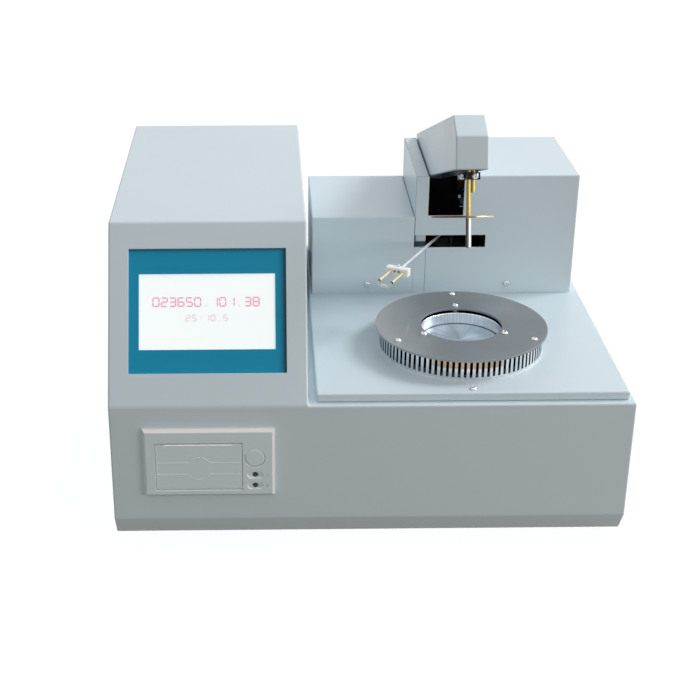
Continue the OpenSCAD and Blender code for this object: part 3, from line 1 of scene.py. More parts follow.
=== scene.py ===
"""Looks of the open cup flash point tester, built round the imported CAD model.

Everything is in metres and in the row frame: X to the right, Y to the back, Z up from the bench.
"""

import functools
import json
import math

import bmesh
import bpy
from mathutils import Matrix, Vector


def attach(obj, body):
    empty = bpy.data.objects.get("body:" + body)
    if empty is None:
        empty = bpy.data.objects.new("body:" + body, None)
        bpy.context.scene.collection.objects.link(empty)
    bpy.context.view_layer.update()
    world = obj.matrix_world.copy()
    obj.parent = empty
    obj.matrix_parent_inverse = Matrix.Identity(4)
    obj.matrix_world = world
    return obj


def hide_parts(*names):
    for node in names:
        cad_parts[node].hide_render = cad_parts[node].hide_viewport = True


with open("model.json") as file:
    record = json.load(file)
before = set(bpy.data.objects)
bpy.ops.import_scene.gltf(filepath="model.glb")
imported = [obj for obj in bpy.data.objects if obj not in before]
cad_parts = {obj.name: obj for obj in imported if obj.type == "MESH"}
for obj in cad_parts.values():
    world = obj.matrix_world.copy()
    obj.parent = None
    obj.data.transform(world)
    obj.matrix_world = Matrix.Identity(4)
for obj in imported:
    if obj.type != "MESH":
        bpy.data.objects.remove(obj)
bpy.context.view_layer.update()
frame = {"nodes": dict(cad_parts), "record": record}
nodes = frame["nodes"]
scene = bpy.context.scene
MM = 0.001

# Places shared with the CAD source, in millimetres of the row frame
MID_Y = 182.05
FOOT_H = 8.0
HEATER = (83.9, -80.35)
DECK_TOP = 142.0
HOOD_FRONT, HOOD_BACK = 219.8 - MID_Y, 345.4 - MID_Y
LOW_LEFT, LOW_TOP = -43.2, 219.5
TALL_LEFT, TALL_RIGHT, TALL_TOP = 53.0, 204.6, 259.1
SLOPE_LEAN = math.atan2(77.8, 132.9)
SLOPE_BASE = (-MID_Y, 134.6)
IGNITER_PIVOT = (94.3, 83.35, 195.0)
IGNITER_TURN = -27.65
IGNITER_REACH = 164.03


# Materials


def rgb(r, g, b):
    """A colour written as 0 to 255 sRGB, as the linear value that a shader takes."""

    def linear(c):
        c /= 255
        return c / 12.92 if c < 0.04045 else ((c + 0.055) / 1.055) ** 2.4

    return (linear(r), linear(g), linear(b), 1.0)


def scaled(colour, factor):
    return tuple(min(1.0, c * factor) for c in colour[:3]) + (1.0,)


def feed(tree, socket, value):
    """Links an output to the socket, or sets the socket to a plain value."""
    if isinstance(value, bpy.types.NodeSocket):
        tree.links.new(value, socket)
    else:
        socket.default_value = value


def add_node(tree, kind, *links, **props):
    """Adds a node with its properties, then feeds the sockets given as (socket, value)."""
    node = tree.nodes.new(kind)
    for key, value in props.items():
        setattr(node, key, value)
    for socket, value in links:
        feed(tree, node.inputs[socket], value)
    return node


def map_range(tree, value, low, high, from_low=0.0, from_high=1.0):
    links = [
        ("Value", value),
        ("From Min", from_low),
        ("From Max", from_high),
        ("To Min", low),
        ("To Max", high),
    ]
    return add_node(tree, "ShaderNodeMapRange", *links).outputs["Result"]


def mix_colours(tree, fac, a, b):
    """Colour a where fac is 0 and b where it is 1."""
    node = add_node(tree, "ShaderNodeMix", ("Factor", fac), data_type="RGBA")
    feed(tree, node.inputs[6], a)
    feed(tree, node.inputs[7], b)
    return node.outputs[2]


class Graph:
    """A material and short calls that add the nodes of its pattern."""

    def __init__(self, name, **sockets):
        self.material = bpy.data.materials.new(name)
        self.material.use_nodes = True
        self.tree = self.material.node_tree
        self.bsdf = self.tree.nodes["Principled BSDF"]
        for socket, value in sockets.items():
            self.bsdf.inputs[socket.replace("_", " ")].default_value = value
        self.place = self.add("ShaderNodeTexCoord")
        self.object = self.place.outputs["Object"]

    def add(self, kind, *links, **props):
        return add_node(self.tree, kind, *links, **props)

    def feed(self, socket, value):
        feed(self.tree, self.bsdf.inputs[socket], value)

    def noise(self, scale, detail=2.0, vector=None):
        links = [("Vector", vector or self.object), ("Scale", scale), ("Detail", detail)]
        return self.add("ShaderNodeTexNoise", *links).outputs["Fac"]

    def scratches(self, x, y, z):
        """Noise drawn out along the axis whose scale is small, for brushed and drawn surfaces."""
        links = [("Vector", self.object), ("Scale", (x, y, z))]
        return self.noise(1.0, 3.0, self.add("ShaderNodeMapping", *links).outputs[0])

    def math(self, operation, a, b=0.0):
        return self.add("ShaderNodeMath", (0, a), (1, b), operation=operation).outputs[0]

    def span(self, value, low, high, from_low=0.0, from_high=1.0):
        return map_range(self.tree, value, low, high, from_low, from_high)

    def blend(self, fac, a, b):
        return mix_colours(self.tree, fac, a, b)

    def axis(self, index):
        """The place along X, Y or Z of the row frame, in metres."""
        return self.add("ShaderNodeSeparateXYZ", (0, self.object)).outputs[index]

    def height(self, value, distance, strength=1.0):
        links = [("Height", value), ("Distance", distance), ("Strength", strength)]
        return self.add("ShaderNodeBump", *links).outputs["Normal"]

    def polar(self, x, y):
        """Radius and angle round a vertical axis through (x, y) in millimetres."""
        links = [(0, self.object), (1, (x * MM, y * MM, 0))]
        moved = self.add("ShaderNodeVectorMath", *links, operation="SUBTRACT")
        parts = self.add("ShaderNodeSeparateXYZ", (0, moved.outputs[0]))
        flat = self.add("ShaderNodeCombineXYZ", (0, parts.outputs[0]), (1, parts.outputs[1]))
        radius = self.add("ShaderNodeVectorMath", (0, flat.outputs[0]), operation="LENGTH").outputs["Value"]
        angle = self.math("ARCTAN2", parts.outputs[1], parts.outputs[0])
        return radius, angle

    def line_noise(self, value, scale, detail=3.0):
        links = [("W", value), ("Scale", scale), ("Detail", detail)]
        return self.add("ShaderNodeTexNoise", *links, noise_dimensions="1D").outputs["Fac"]

    def colour(self, value):
        self.feed("Base Color", value)

    def rough(self, value):
        self.feed("Roughness", value)

    def normal(self, value):
        self.feed("Normal", value)


def coated(name, base, spread=0.02, rough=0.36, grain=900.0, depth=0.00003, **sockets):
    """Powder coat or moulded plastic: a fine grain with slow changes of tone and gloss."""
    g = Graph(name, **sockets)
    slow = g.noise(5.0, 3.0)
    fine = g.noise(grain * 0.35, 2.0)
    tone = g.math("ADD", g.math("MULTIPLY", slow, 0.7), g.math("MULTIPLY", fine, 0.3))
    g.colour(g.blend(tone, scaled(base, 1 - spread), scaled(base, 1 + spread)))
    g.rough(g.span(g.noise(22.0, 3.0), rough - 0.04, rough + 0.05, 0.3, 0.7))
    g.normal(g.height(g.noise(grain, 2.0), depth, 0.5))
    return g.material


def drawn(name, base, along="z", rough=0.25, spread=0.08, left=None, reach=(-0.5, 0.45), **sockets):
    """Metal with fine lines drawn along one axis of the row frame, with painted shade where it faces left."""
    stretch = {"x": (12, 900, 900), "y": (900, 12, 900), "z": (900, 900, 12)}[along]
    g = Graph(name, **{"Metallic": 1.0, **sockets})
    lines = g.scratches(*stretch)
    cloud = g.noise(60.0, 3.0)
    tone = g.blend(lines, scaled(base, 1 - spread), scaled(base, 1 + spread))
    # Painted shade: faces that face left blend to the colour `left`, in place of a darker reflection there
    if left is not None:
        facing = g.add("ShaderNodeSeparateXYZ", (0, g.place.outputs["Normal"])).outputs[0]
        tone = g.blend(g.span(facing, 0.0, 1.0, *reach), left, tone)
    g.colour(tone)
    g.rough(g.span(cloud, rough - 0.05, rough + 0.07, 0.3, 0.7))
    g.normal(g.height(lines, 0.00001, 0.6))
    return g.material


def turned(name, base, rough, spread, extra, sheen=0.5, streaks=0.0, cloud=0.03, **sockets):
    """Metal turned on a lathe about the heater's axis: fine rings, and streaks across them.

    `extra` then paints what is particular to the piece over it."""
    g = Graph(name, **{"Metallic": 1.0, "Anisotropic": sheen, **sockets})
    radius, angle = g.polar(*HEATER)
    fine = g.line_noise(radius, 2600.0, 4.0)
    tone = g.span(fine, 1 - spread, 1 + spread, 0.3, 0.7)
    if streaks:
        narrow = g.line_noise(angle, 34.0, 3.0)
        tone = g.math("MULTIPLY", tone, g.span(narrow, 1 - streaks, 1 + streaks, 0.35, 0.65))
    tone = g.math("MULTIPLY", tone, g.span(g.noise(30.0, 4.0), 1 - cloud, 1 + cloud, 0.3, 0.7))
    shade = g.add("ShaderNodeVectorMath", (0, base[:3]), ("Scale", tone), operation="SCALE")
    g.colour(shade.outputs[0])
    g.rough(g.span(g.noise(55.0, 3.0), rough - 0.03, rough + 0.06, 0.3, 0.7))
    turn = g.add("ShaderNodeTangent", direction_type="RADIAL", axis="Z")
    g.feed("Tangent", turn.outputs[0])
    g.normal(g.height(fine, 0.000012, 0.7))
    extra(g, shade.outputs[0], radius, angle)
    return g.material


def bump_at(g, value, centre, half):
    """1 at the centre of a band and 0 from half its width on."""
    return g.span(g.math("ABSOLUTE", g.math("SUBTRACT", value, centre * MM)), 1.0, 0.0, 0.0, half * MM)


def disc_painted_sheen(g, tone, *_):
    """Two faint bands of painted sheen left of the opening, and painted light that makes the disc paler
    towards left and back.
    """
    slant = g.math("SUBTRACT", g.axis(0), g.math("MULTIPLY", g.math("ADD", g.axis(1), 80 * MM), 0.18))
    strong = g.math("MULTIPLY", bump_at(g, slant, 37.8, 3.4), bump_at(g, g.axis(1), -88, 42))
    faint = g.math("MULTIPLY", bump_at(g, slant, 19.0, 4.0), bump_at(g, g.axis(1), -92, 26))
    fac = g.math("MULTIPLY", g.math("ADD", strong, faint), 0.45)
    back = g.span(g.axis(1), 0.0, 0.1, -75 * MM, -10 * MM)
    side = g.span(g.axis(0), 0.34, 0.0, 18 * MM, 62 * MM)
    fac = g.math("MAXIMUM", fac, g.math("MAXIMUM", back, side))
    g.colour(g.blend(fac, tone, rgb(206, 208, 210)))


# Just past the floor and the wall of the cup bore, and just within the skirt's outer face
BORE_FLOOR, BORE_R, SKIRT_R = 147.3, 36.6, 70.9


def block_painted_shade(g, tone, radius, angle):
    """The cup bore is bright with a dull floor; painted sheen in rays on the floor, painted shade where the
    floor meets the wall, and painted shade, near black, on all outside the bore.
    """
    floor = g.math("LESS_THAN", g.axis(2), BORE_FLOOR * MM)
    # Painted sheen: rays of lighter and darker tone round the floor
    rays = g.span(g.line_noise(angle, 3.2, 2.0), 0.0, 1.0, 0.35, 0.65)
    dull = g.blend(rays, rgb(172, 192, 208), rgb(198, 212, 224))
    # Painted shade in the corner where the floor meets the wall
    edge = g.span(radius, 0.0, 1.0, 33.2 * MM, 34.6 * MM)
    dull = g.blend(edge, dull, rgb(70, 76, 84))
    inner = g.blend(floor, tone, dull)
    # Painted shade: near black outside the bore
    outside = g.math("GREATER_THAN", radius, BORE_R * MM)
    g.colour(g.blend(outside, inner, rgb(14, 13, 16)))
    g.rough(g.math("MAXIMUM", g.span(floor, 0.24, 0.5), g.math("MULTIPLY", outside, 0.9)))


def skirt_painted_shade_and_reflection(g, tone, radius, angle):
    """Painted shade, near black, on the inner faces; a painted reflection, brownish, over the upper half at
    the front.
    """
    # Painted reflection: a brownish tone over the upper half of the front
    front = g.span(g.math("ABSOLUTE", g.math("ADD", angle, math.radians(92))), 1.0, 0.0, 0.38, 0.48)
    upper = g.span(g.axis(2), 0.0, 1.0, 151.5 * MM, 153.0 * MM)
    tint = g.math("MULTIPLY", g.math("MULTIPLY", front, upper), 0.85)
    outer = g.blend(tint, tone, rgb(176, 148, 120))
    # Painted shade: the inner faces, near black
    outside = g.math("GREATER_THAN", radius, SKIRT_R * MM)
    g.colour(g.blend(outside, rgb(12, 12, 14), outer))
    g.rough(g.span(outside, 0.9, 0.28))


def inside(g, boxes):
    """1 for places inside any of the boxes, given by two corners in millimetres of the row frame."""
    parts = g.add("ShaderNodeSeparateXYZ", (0, g.object)).outputs
    total = None
    for low, high in boxes:
        held = None
        for part, a, b in zip(parts, low, high):
            away = g.math("ABSOLUTE", g.math("SUBTRACT", part, (a + b) / 2 * MM))
            near = g.math("LESS_THAN", away, (b - a) / 2 * MM)
            held = near if held is None else g.math("MULTIPLY", held, near)
        total = held if total is None else g.math("MAXIMUM", total, held)
    return total


def lined_with_painted_shade(name, base, shade_tone, boxes, spread=0.015, rough=0.34):
    """Paint-coated sheet with painted shade on its inner side, inside the boxes: a dark tone with little
    gloss.
    """
    g = Graph(name)
    slow = g.noise(5.0, 3.0)
    outer = g.blend(slow, scaled(base, 1 - spread), scaled(base, 1 + spread))
    inner = g.blend(slow, scaled(shade_tone, 0.9), scaled(shade_tone, 1.1))
    # Painted shade inside the boxes
    dark = inside(g, boxes)
    g.colour(g.blend(dark, outer, inner))
    g.rough(g.span(dark, rough, 0.75))
    g.feed("Specular IOR Level", g.span(dark, 0.5, 0.05))
    g.normal(g.height(g.noise(900.0, 2.0), 0.00003, 0.5))
    return g.material


def fibrous(name, base, scale=420.0, depth=0.0001, rough=0.85):
    g = Graph(name)
    cells = g.noise(scale, 6.0)
    g.colour(g.blend(cells, scaled(base, 0.93), scaled(base, 1.04)))
    g.rough(rough)
    g.normal(g.height(cells, depth, 0.6))
    return g.material


def bezel_plastic(name, base, highlight_tone):
    """Moulded plastic, with a painted highlight, lighter and glossier, on the bevels that face right and up.
    """
    g = Graph(name)
    facing = g.add("ShaderNodeSeparateXYZ", (0, g.place.outputs["Normal"])).outputs
    # Painted highlight on the faces that face right or up
    bevel = g.span(g.math("MAXIMUM", facing[0], facing[2]), 0.0, 1.0, 0.35, 0.65)
    tone = g.blend(g.noise(5.0, 3.0), scaled(base, 0.988), scaled(base, 1.012))
    g.colour(g.blend(bevel, tone, highlight_tone))
    g.rough(g.span(bevel, 0.42, 0.3))
    g.normal(g.height(g.noise(1100.0, 2.0), 0.00002, 0.5))
    return g.material


def board(name):
    """A circuit board: dark green with lighter tracks."""
    g = Graph(name, Roughness=0.4)
    links = [("Vector", g.object), ("Scale", 260.0), ("Mortar Size", 0.03)]
    tracks = g.add("ShaderNodeTexBrick", *links)
    g.colour(g.blend(tracks.outputs["Fac"], rgb(16, 84, 48), rgb(48, 132, 78)))
    g.normal(g.height(tracks.outputs["Fac"], 0.00005, 0.5))
    return g.material


def lit_screen(name):
    """A lit white screen, a touch paler towards its middle, behind a glossy film."""
    g = Graph(name, Roughness=0.22, Coat_Weight=0.4, Coat_Roughness=0.08, Emission_Strength=0.4)
    slow = g.noise(9.0, 2.0)
    tint = g.blend(slow, rgb(236, 248, 250), rgb(250, 254, 254))
    g.colour(tint)
    g.feed("Emission Color", tint)
    g.normal(g.height(g.noise(2400.0, 1.0), 0.000004, 0.4))
    return g.material


def teal_film(base):
    """The printed film of the screen panel, with painted shade at the right and the top where the case
    overhangs it.
    """
    g = Graph("teal_film", **{"Specular IOR Level": 0.25})
    tone = g.blend(g.noise(5.0, 3.0), scaled(base, 0.98), scaled(base, 1.03))
    # Painted shade along the right and the top
    right = g.span(g.axis(0), 0.0, 1.0, -78.5 * MM, -71.5 * MM)
    top = g.span(g.axis(2), 0.0, 0.7, 244.0 * MM, 246.5 * MM)
    shade = g.math("MULTIPLY", g.math("MAXIMUM", g.math("POWER", right, 2.0), top), 0.85)
    g.colour(g.blend(shade, tone, scaled(base, 0.12)))
    g.rough(g.span(g.noise(22.0, 3.0), 0.38, 0.47, 0.3, 0.7))
    g.normal(g.height(g.noise(1500.0, 2.0), 0.00001, 0.5))
    return g.material


def ring_metal(name):
    """Brass wire, lighter at the right of the tube as a painted highlight and brown at the left as painted
    shade.
    """
    g = Graph(name, Metallic=1.0)
    lines = g.scratches(12, 900, 900)
    highlight_tone = g.blend(lines, rgb(214, 198, 162), rgb(234, 218, 184))
    shaded_tone = g.blend(lines, rgb(84, 64, 50), rgb(110, 86, 66))
    # Painted highlight to the right, painted shade to the left
    g.colour(g.blend(g.span(g.axis(0), 0.0, 1.0, 76 * MM, 88 * MM), shaded_tone, highlight_tone))
    g.rough(g.span(g.noise(60.0, 3.0), 0.25, 0.37, 0.3, 0.7))
    g.normal(g.height(lines, 0.00001, 0.6))
    return g.material


def ink(name, base, glow=0.0):
    g = Graph(name, Roughness=0.5, Emission_Strength=glow)
    tone = g.blend(g.noise(300.0, 2.0), scaled(base, 0.96), scaled(base, 1.04))
    g.colour(tone)
    if glow:
        g.feed("Emission Color", tone)
    return g.material


PAINT = rgb(207, 222, 230)
# Inside the low hood, inside the tall one, and the wall between them from the slot up, where shade is painted
INNER_FRONT, INNER_BACK, INNER_FLOOR = HOOD_FRONT + 0.45, HOOD_BACK - 0.45, DECK_TOP + 0.4
HOOD_INSIDE = [
    ((LOW_LEFT + 0.4, INNER_FRONT, INNER_FLOOR), (TALL_LEFT - 0.1, INNER_BACK, LOW_TOP - 0.6)),
    ((TALL_LEFT + 0.4, INNER_FRONT, INNER_FLOOR), (TALL_RIGHT - 0.4, INNER_BACK, TALL_TOP - 0.4)),
    ((TALL_LEFT - 1, INNER_FRONT, 186.0), (TALL_LEFT + 1, INNER_BACK, LOW_TOP - 0.6)),
]
# Behind the left end of the slot, where the closing strip gets painted shade
STRIP_INSIDE = [((50.0, 40.5, 180.0), (200.0, 60.0, 193.5))]
# Each stands under the slot that it fills; the others are for the nodes in BY_NODE and the detail pieces
MATERIALS = {
    "paint": coated("paint", PAINT, 0.015, 0.34),
    # The second colour of each of these two is painted shade for the inner side
    "hood_paint": lined_with_painted_shade("hood_paint", PAINT, rgb(62, 54, 66), HOOD_INSIDE),
    "strip_paint": lined_with_painted_shade("strip_paint", PAINT, rgb(70, 90, 100), STRIP_INSIDE),
    "bracket_grey": coated("bracket_grey", rgb(112, 114, 118), 0.05, 0.45, Metallic=0.4),
    # Near black: painted shade for the arm brackets inside the hood
    "bracket_steel": coated("bracket_steel", rgb(40, 36, 40), 0.05, 0.6),
    "sheet_steel": drawn("sheet_steel", rgb(176, 179, 182), "y", 0.34),
    # The disc's own grey, with painted sheen bands and painted light laid over it
    "disc_steel": turned("disc_steel", rgb(139, 146, 151), 0.4, 0.025, disc_painted_sheen, cloud=0.01,
                         Metallic=0.6),
    "skirt": turned("skirt_steel", rgb(226, 230, 234), 0.28, 0.03, skirt_painted_shade_and_reflection, sheen=0.3, streaks=0.08),
    "block": turned("block_steel", rgb(246, 246, 246), 0.24, 0.03, block_painted_shade, streaks=0.14),
    "bright_steel": drawn("bright_steel", rgb(212, 213, 216), "z", 0.2),
    # In drawn() the second colour is painted shade on the faces that face left
    "rod": drawn("rod_steel", rgb(236, 242, 248), "y", 0.35, 0.03, rgb(110, 116, 122), (-0.75, -0.2),
                 Metallic=0.6),
    "probe_steel": drawn("probe_steel", rgb(212, 210, 210), "z", 0.3, 0.04, rgb(84, 76, 74), (-0.45, 0.2)),
    "ring_brass": ring_metal("ring_brass"),
    "screw_chrome": drawn("screw_chrome", rgb(222, 223, 226), "z", 0.14, 0.03),
    "clamp_chrome": drawn("clamp_chrome", rgb(206, 208, 212), "x", 0.22, 0.04, rgb(70, 70, 76),
                          (-0.9, -0.1)),
    "guard": drawn("guard_chrome", rgb(206, 208, 212), "x", 0.2, 0.04),
    "rubber": coated("rubber", rgb(34, 34, 36), 0.1, 0.75, 500.0, 0.00008),
    "teal_panel": teal_film(rgb(8, 148, 188)),
    "display": lit_screen("display_glass"),
    "circuit_board": board("circuit_board"),
    "ceramic": fibrous("ceramic", rgb(252, 252, 250), 900.0, 0.00003, 0.5),
    "insulation": fibrous("insulation_board", rgb(224, 219, 205)),
    "brass": drawn("brass", rgb(206, 182, 104), "z", 0.32, 0.06, rgb(104, 80, 40), (-0.9, 0.15)),
    "post_brass": drawn("post_brass", rgb(244, 234, 196), "y", 0.3, 0.05, rgb(130, 96, 48), (-0.85, -0.1)),
    # Dark brass: painted shade for the gear and bushes inside the hood
    "brass_gear": drawn("gear_brass", rgb(104, 80, 44), "x", 0.5, 0.08),
    "black_plastic": coated("black_plastic", rgb(30, 30, 33), 0.08, 0.42, 700.0, 0.00004),
    "black_metal": coated("black_oxide", rgb(24, 25, 30), 0.08, 0.3, 800.0, 0.00002, Metallic=0.6),
    "bezel_plastic": bezel_plastic("bezel_plastic", rgb(221, 235, 243), rgb(255, 255, 255)),
    # Lighter than the bezel: painted highlight for the door's beads and the button's ring
    "bezel_painted_highlight": coated("bezel_painted_highlight", rgb(238, 247, 252), 0.012, 0.4, 1100.0, 0.00002),
    "rocker_plastic": coated("rocker_plastic", rgb(176, 22, 26), 0.03, 0.22, 900.0, 0.00001),
    "paper": fibrous("paper", rgb(244, 244, 240), 700.0, 0.00003, 0.8),
    "glow": fibrous("glow_coil", rgb(238, 238, 236), 1200.0, 0.00001, 0.4),
    "pink": ink("screen_pink", rgb(242, 156, 186), 0.3),
    "pale_pink": ink("screen_pale_pink", rgb(240, 200, 214), 0.3),
    "grey_ink": ink("printed_grey", rgb(78, 84, 90)),
    # Near black: painted shade for holes and slots
    "dark": coated("hole_painted_shade", rgb(20, 18, 18), 0.1, 0.8),
}
BY_NODE = {
    "slotted_skirt": "skirt",
    "temperature_probe": "probe_steel",
    "detection_ring": "ring_brass",
    "electrode_posts": "post_brass",
    "probe_bracket": "bracket_grey",
    "clamp_screws": "clamp_chrome",
    "heater_block": "block",
    "igniter_rod": "rod",
    "fan_guard": "guard",
    "hood_low": "hood_paint",
    "hood_tall": "hood_paint",
    "closing_strip": "strip_paint",
    # These three sit inside the hood and carry painted shade
    "arm_brackets": "bracket_steel",
    "sector_gear": "brass_gear",
    "shaft_bushes": "brass_gear",
}


# Rounded edges on CAD nodes

CREASE = 28.0  # degrees; a smaller bend counts as smooth
PLANE_SLACK = 0.00002  # metres
WELD_GAP = 0.000002


def mesh_group(name):
    """An empty node group for a mesh, the call that adds its nodes, and its mesh without stored normals."""
    tree = bpy.data.node_groups.new(name, "GeometryNodeTree")
    tree.interface.new_socket("Geometry", in_out="INPUT", socket_type="NodeSocketGeometry")
    tree.interface.new_socket("Geometry", in_out="OUTPUT", socket_type="NodeSocketGeometry")
    add = functools.partial(add_node, tree)
    start = add("NodeGroupInput").outputs[0]
    bare = add("GeometryNodeRemoveAttribute", (0, start), ("Name", "custom_normal")).outputs[0]
    return tree, add, bare


def sharp_edges(add):
    """1 on the edges that bend by more than CREASE."""
    angle = add("GeometryNodeInputMeshEdgeAngle").outputs[0]
    return add("ShaderNodeMath", (0, angle), (1, math.radians(CREASE)), operation="GREATER_THAN").outputs[0]


def outer_bends(add, planes, fine):
    """1 on the edges whose ends both lie on two of the planes, and `fine` on the others.

    Planes are (normal, distance), the distance in millimetres of the row frame."""
    place = add("GeometryNodeInputPosition").outputs[0]
    total = 0.0
    for normal, distance in planes:
        reach = add("ShaderNodeVectorMath", (0, place), (1, normal), operation="DOT_PRODUCT").outputs["Value"]
        links = [(0, reach), (1, distance * MM), (2, PLANE_SLACK)]
        near = add("ShaderNodeMath", *links, operation="COMPARE").outputs[0]
        total = add("ShaderNodeMath", (0, total), (1, near)).outputs[0]
    corner = add("ShaderNodeMath", (0, total), (1, 1.5), operation="GREATER_THAN").outputs[0]
    held = add("GeometryNodeFieldOnDomain", (0, corner), domain="POINT", data_type="FLOAT").outputs[0]
    both = add("ShaderNodeMath", (0, held), (1, 0.99), operation="GREATER_THAN").outputs[0]
    share = add("ShaderNodeMath", (0, both), (1, 1 - fine), operation="MULTIPLY").outputs[0]
    return add("ShaderNodeMath", (0, share), (1, fine)).outputs[0]


def edge_weights(name, fine, planes):
    """A node group that smooths a mesh and weighs its sharp edges for the bevel that follows.

    With planes, an outer bend gets weight 1 and any other sharp edge the share `fine`."""
    tree, add, bare = mesh_group(name)
    smooth = add("GeometryNodeSetShadeSmooth", (0, bare), domain="FACE").outputs[0]
    weight = sharp_edges(add)
    if planes:
        share = outer_bends(add, planes, fine)
        weight = add("ShaderNodeMath", (0, weight), (1, share), operation="MULTIPLY").outputs[0]
    links = [(0, smooth), ("Name", "bevel_weight_edge"), ("Value", weight)]
    stored = add("GeometryNodeStoreNamedAttribute", *links, data_type="FLOAT", domain="EDGE").outputs[0]
    add("NodeGroupOutput", (0, stored))
    return tree


def smooth_group(name):
    """A node group that shades a mesh smooth but for its sharp edges."""
    tree, add, bare = mesh_group(name)
    smooth = add("GeometryNodeSetShadeSmooth", (0, bare)).outputs[0]
    links = [(0, smooth), ("Selection", sharp_edges(add)), ("Shade Smooth", False)]
    edges = add("GeometryNodeSetShadeSmooth", *links, domain="EDGE").outputs[0]
    add("NodeGroupOutput", (0, edges))
    return tree


def weld(ob):
    ob.modifiers.new("weld", "WELD").merge_threshold = WELD_GAP


def smoothed(ob):
    """Shades a fine CAD mesh smooth, with no rounding."""
    weld(ob)
    group = bpy.data.node_groups.get("smoothed") or smooth_group("smoothed")
    ob.modifiers.new("smooth", "NODES").node_group = group


def ease(ob, width, segments=2, fine=1.0, planes=()):
    """Rounds the sharp edges of a CAD node or a piece by `width` millimetres."""
    weld(ob)
    flat = ob.modifiers.new("flat", "DECIMATE")
    flat.decimate_type = "DISSOLVE"
    flat.angle_limit = math.radians(0.4)
    ob.modifiers.new("cuts", "TRIANGULATE").min_vertices = 5
    key = f"edges_{ob.name if planes else 'all'}"
    group = bpy.data.node_groups.get(key) or edge_weights(key, fine, planes)
    ob.modifiers.new("edges", "NODES").node_group = group
    bevel = ob.modifiers.new("round", "BEVEL")
    bevel.width = width * MM
    bevel.segments = segments
    bevel.limit_method = "WEIGHT"
    bevel.use_clamp_overlap = False
    bevel.loop_slide = False
    ob.modifiers.new("normals", "WEIGHTED_NORMAL").keep_sharp = True


X, Y, Z = (1, 0, 0), (0, 1, 0), (0, 0, 1)
SLOPE_NORMAL = (0, -math.cos(SLOPE_LEAN), math.sin(SLOPE_LEAN))
SLOPE_REACH = SLOPE_NORMAL[1] * SLOPE_BASE[0] + SLOPE_NORMAL[2] * SLOPE_BASE[1]
CHIN_RISE, CHIN_DEPTH = 19.8, 12.4
CHIN = math.hypot(CHIN_RISE, CHIN_DEPTH)
CHIN_NORMAL = (0, -CHIN_RISE / CHIN, -CHIN_DEPTH / CHIN)
CHIN_REACH = CHIN_NORMAL[1] * -MID_Y + CHIN_NORMAL[2] * (FOOT_H + CHIN_RISE)
CASE_HALF, TOWER_RIGHT, TOWER_TOP = 217.2, -53.0, 267.5
HOUSING_PLANES = [
    (X, -CASE_HALF), (X, CASE_HALF), (X, TOWER_RIGHT), (Y, -MID_Y), (Z, FOOT_H), (Z, SLOPE_BASE[1]),
    (Z, TOWER_TOP), (SLOPE_NORMAL, SLOPE_REACH), (CHIN_NORMAL, CHIN_REACH),
]
DECK_LEFT, DECK_RIGHT, DECK_FRONT, DECK_BACK = -45.9, 212.6, 6.8 - MID_Y, 352.0 - MID_Y
DECK_PLANES = [(X, DECK_LEFT), (X, DECK_RIGHT), (Y, DECK_FRONT), (Y, DECK_BACK), (Z, DECK_TOP)]
HOOD_PLANES = [(Y, HOOD_FRONT), (Y, HOOD_BACK)]
LOW_PLANES = HOOD_PLANES + [(X, LOW_LEFT), (Z, LOW_TOP)]
TALL_PLANES = HOOD_PLANES + [(X, TALL_LEFT), (X, TALL_RIGHT), (Z, TALL_TOP)]

# The arm cover is modelled raised: its planes turn with it about the hinge
ARM_HINGE = (79.2, 149.75, 244.5)
ARM_TURN = Matrix.Rotation(math.radians(-19.35), 3, "X")
ARM_LEFT, ARM_RIGHT = 66.0 - ARM_HINGE[0], 92.4 - ARM_HINGE[0]
ARM_FRONT, ARM_NOSE, ARM_BACK = -284.3, -263.3, 13.0
ARM_HALF, NOSE_DROP = 22.5, 18.0


def arm_plane(normal, point):
    out = ARM_TURN @ Vector(normal).normalized()
    return tuple(out), out.dot(Vector(ARM_HINGE) + ARM_TURN @ Vector(point))


ARM_PLANES = [
    arm_plane(X, (ARM_LEFT, 0, 0)), arm_plane(X, (ARM_RIGHT, 0, 0)),
    arm_plane(Y, (0, ARM_FRONT, 0)), arm_plane(Y, (0, ARM_BACK, 0)),
    arm_plane(Z, (0, 0, ARM_HALF)), arm_plane(Z, (0, 0, -ARM_HALF)),
    arm_plane((0, -NOSE_DROP, ARM_NOSE - ARM_FRONT), (0, ARM_NOSE, ARM_HALF)),
]

# Node: width of the rounding in millimetres, segments, share for the finer edges, planes
SHELLS = {
    "arm_cover": (1.3, 3, 0.12, ARM_PLANES),
    "housing": (1.8, 3, 0.28, HOUSING_PLANES),
    "work_deck": (1.6, 3, 0.12, DECK_PLANES),
    "hood_low": (1.4, 3, 0.14, LOW_PLANES),
    "hood_tall": (1.4, 3, 0.14, TALL_PLANES),
}
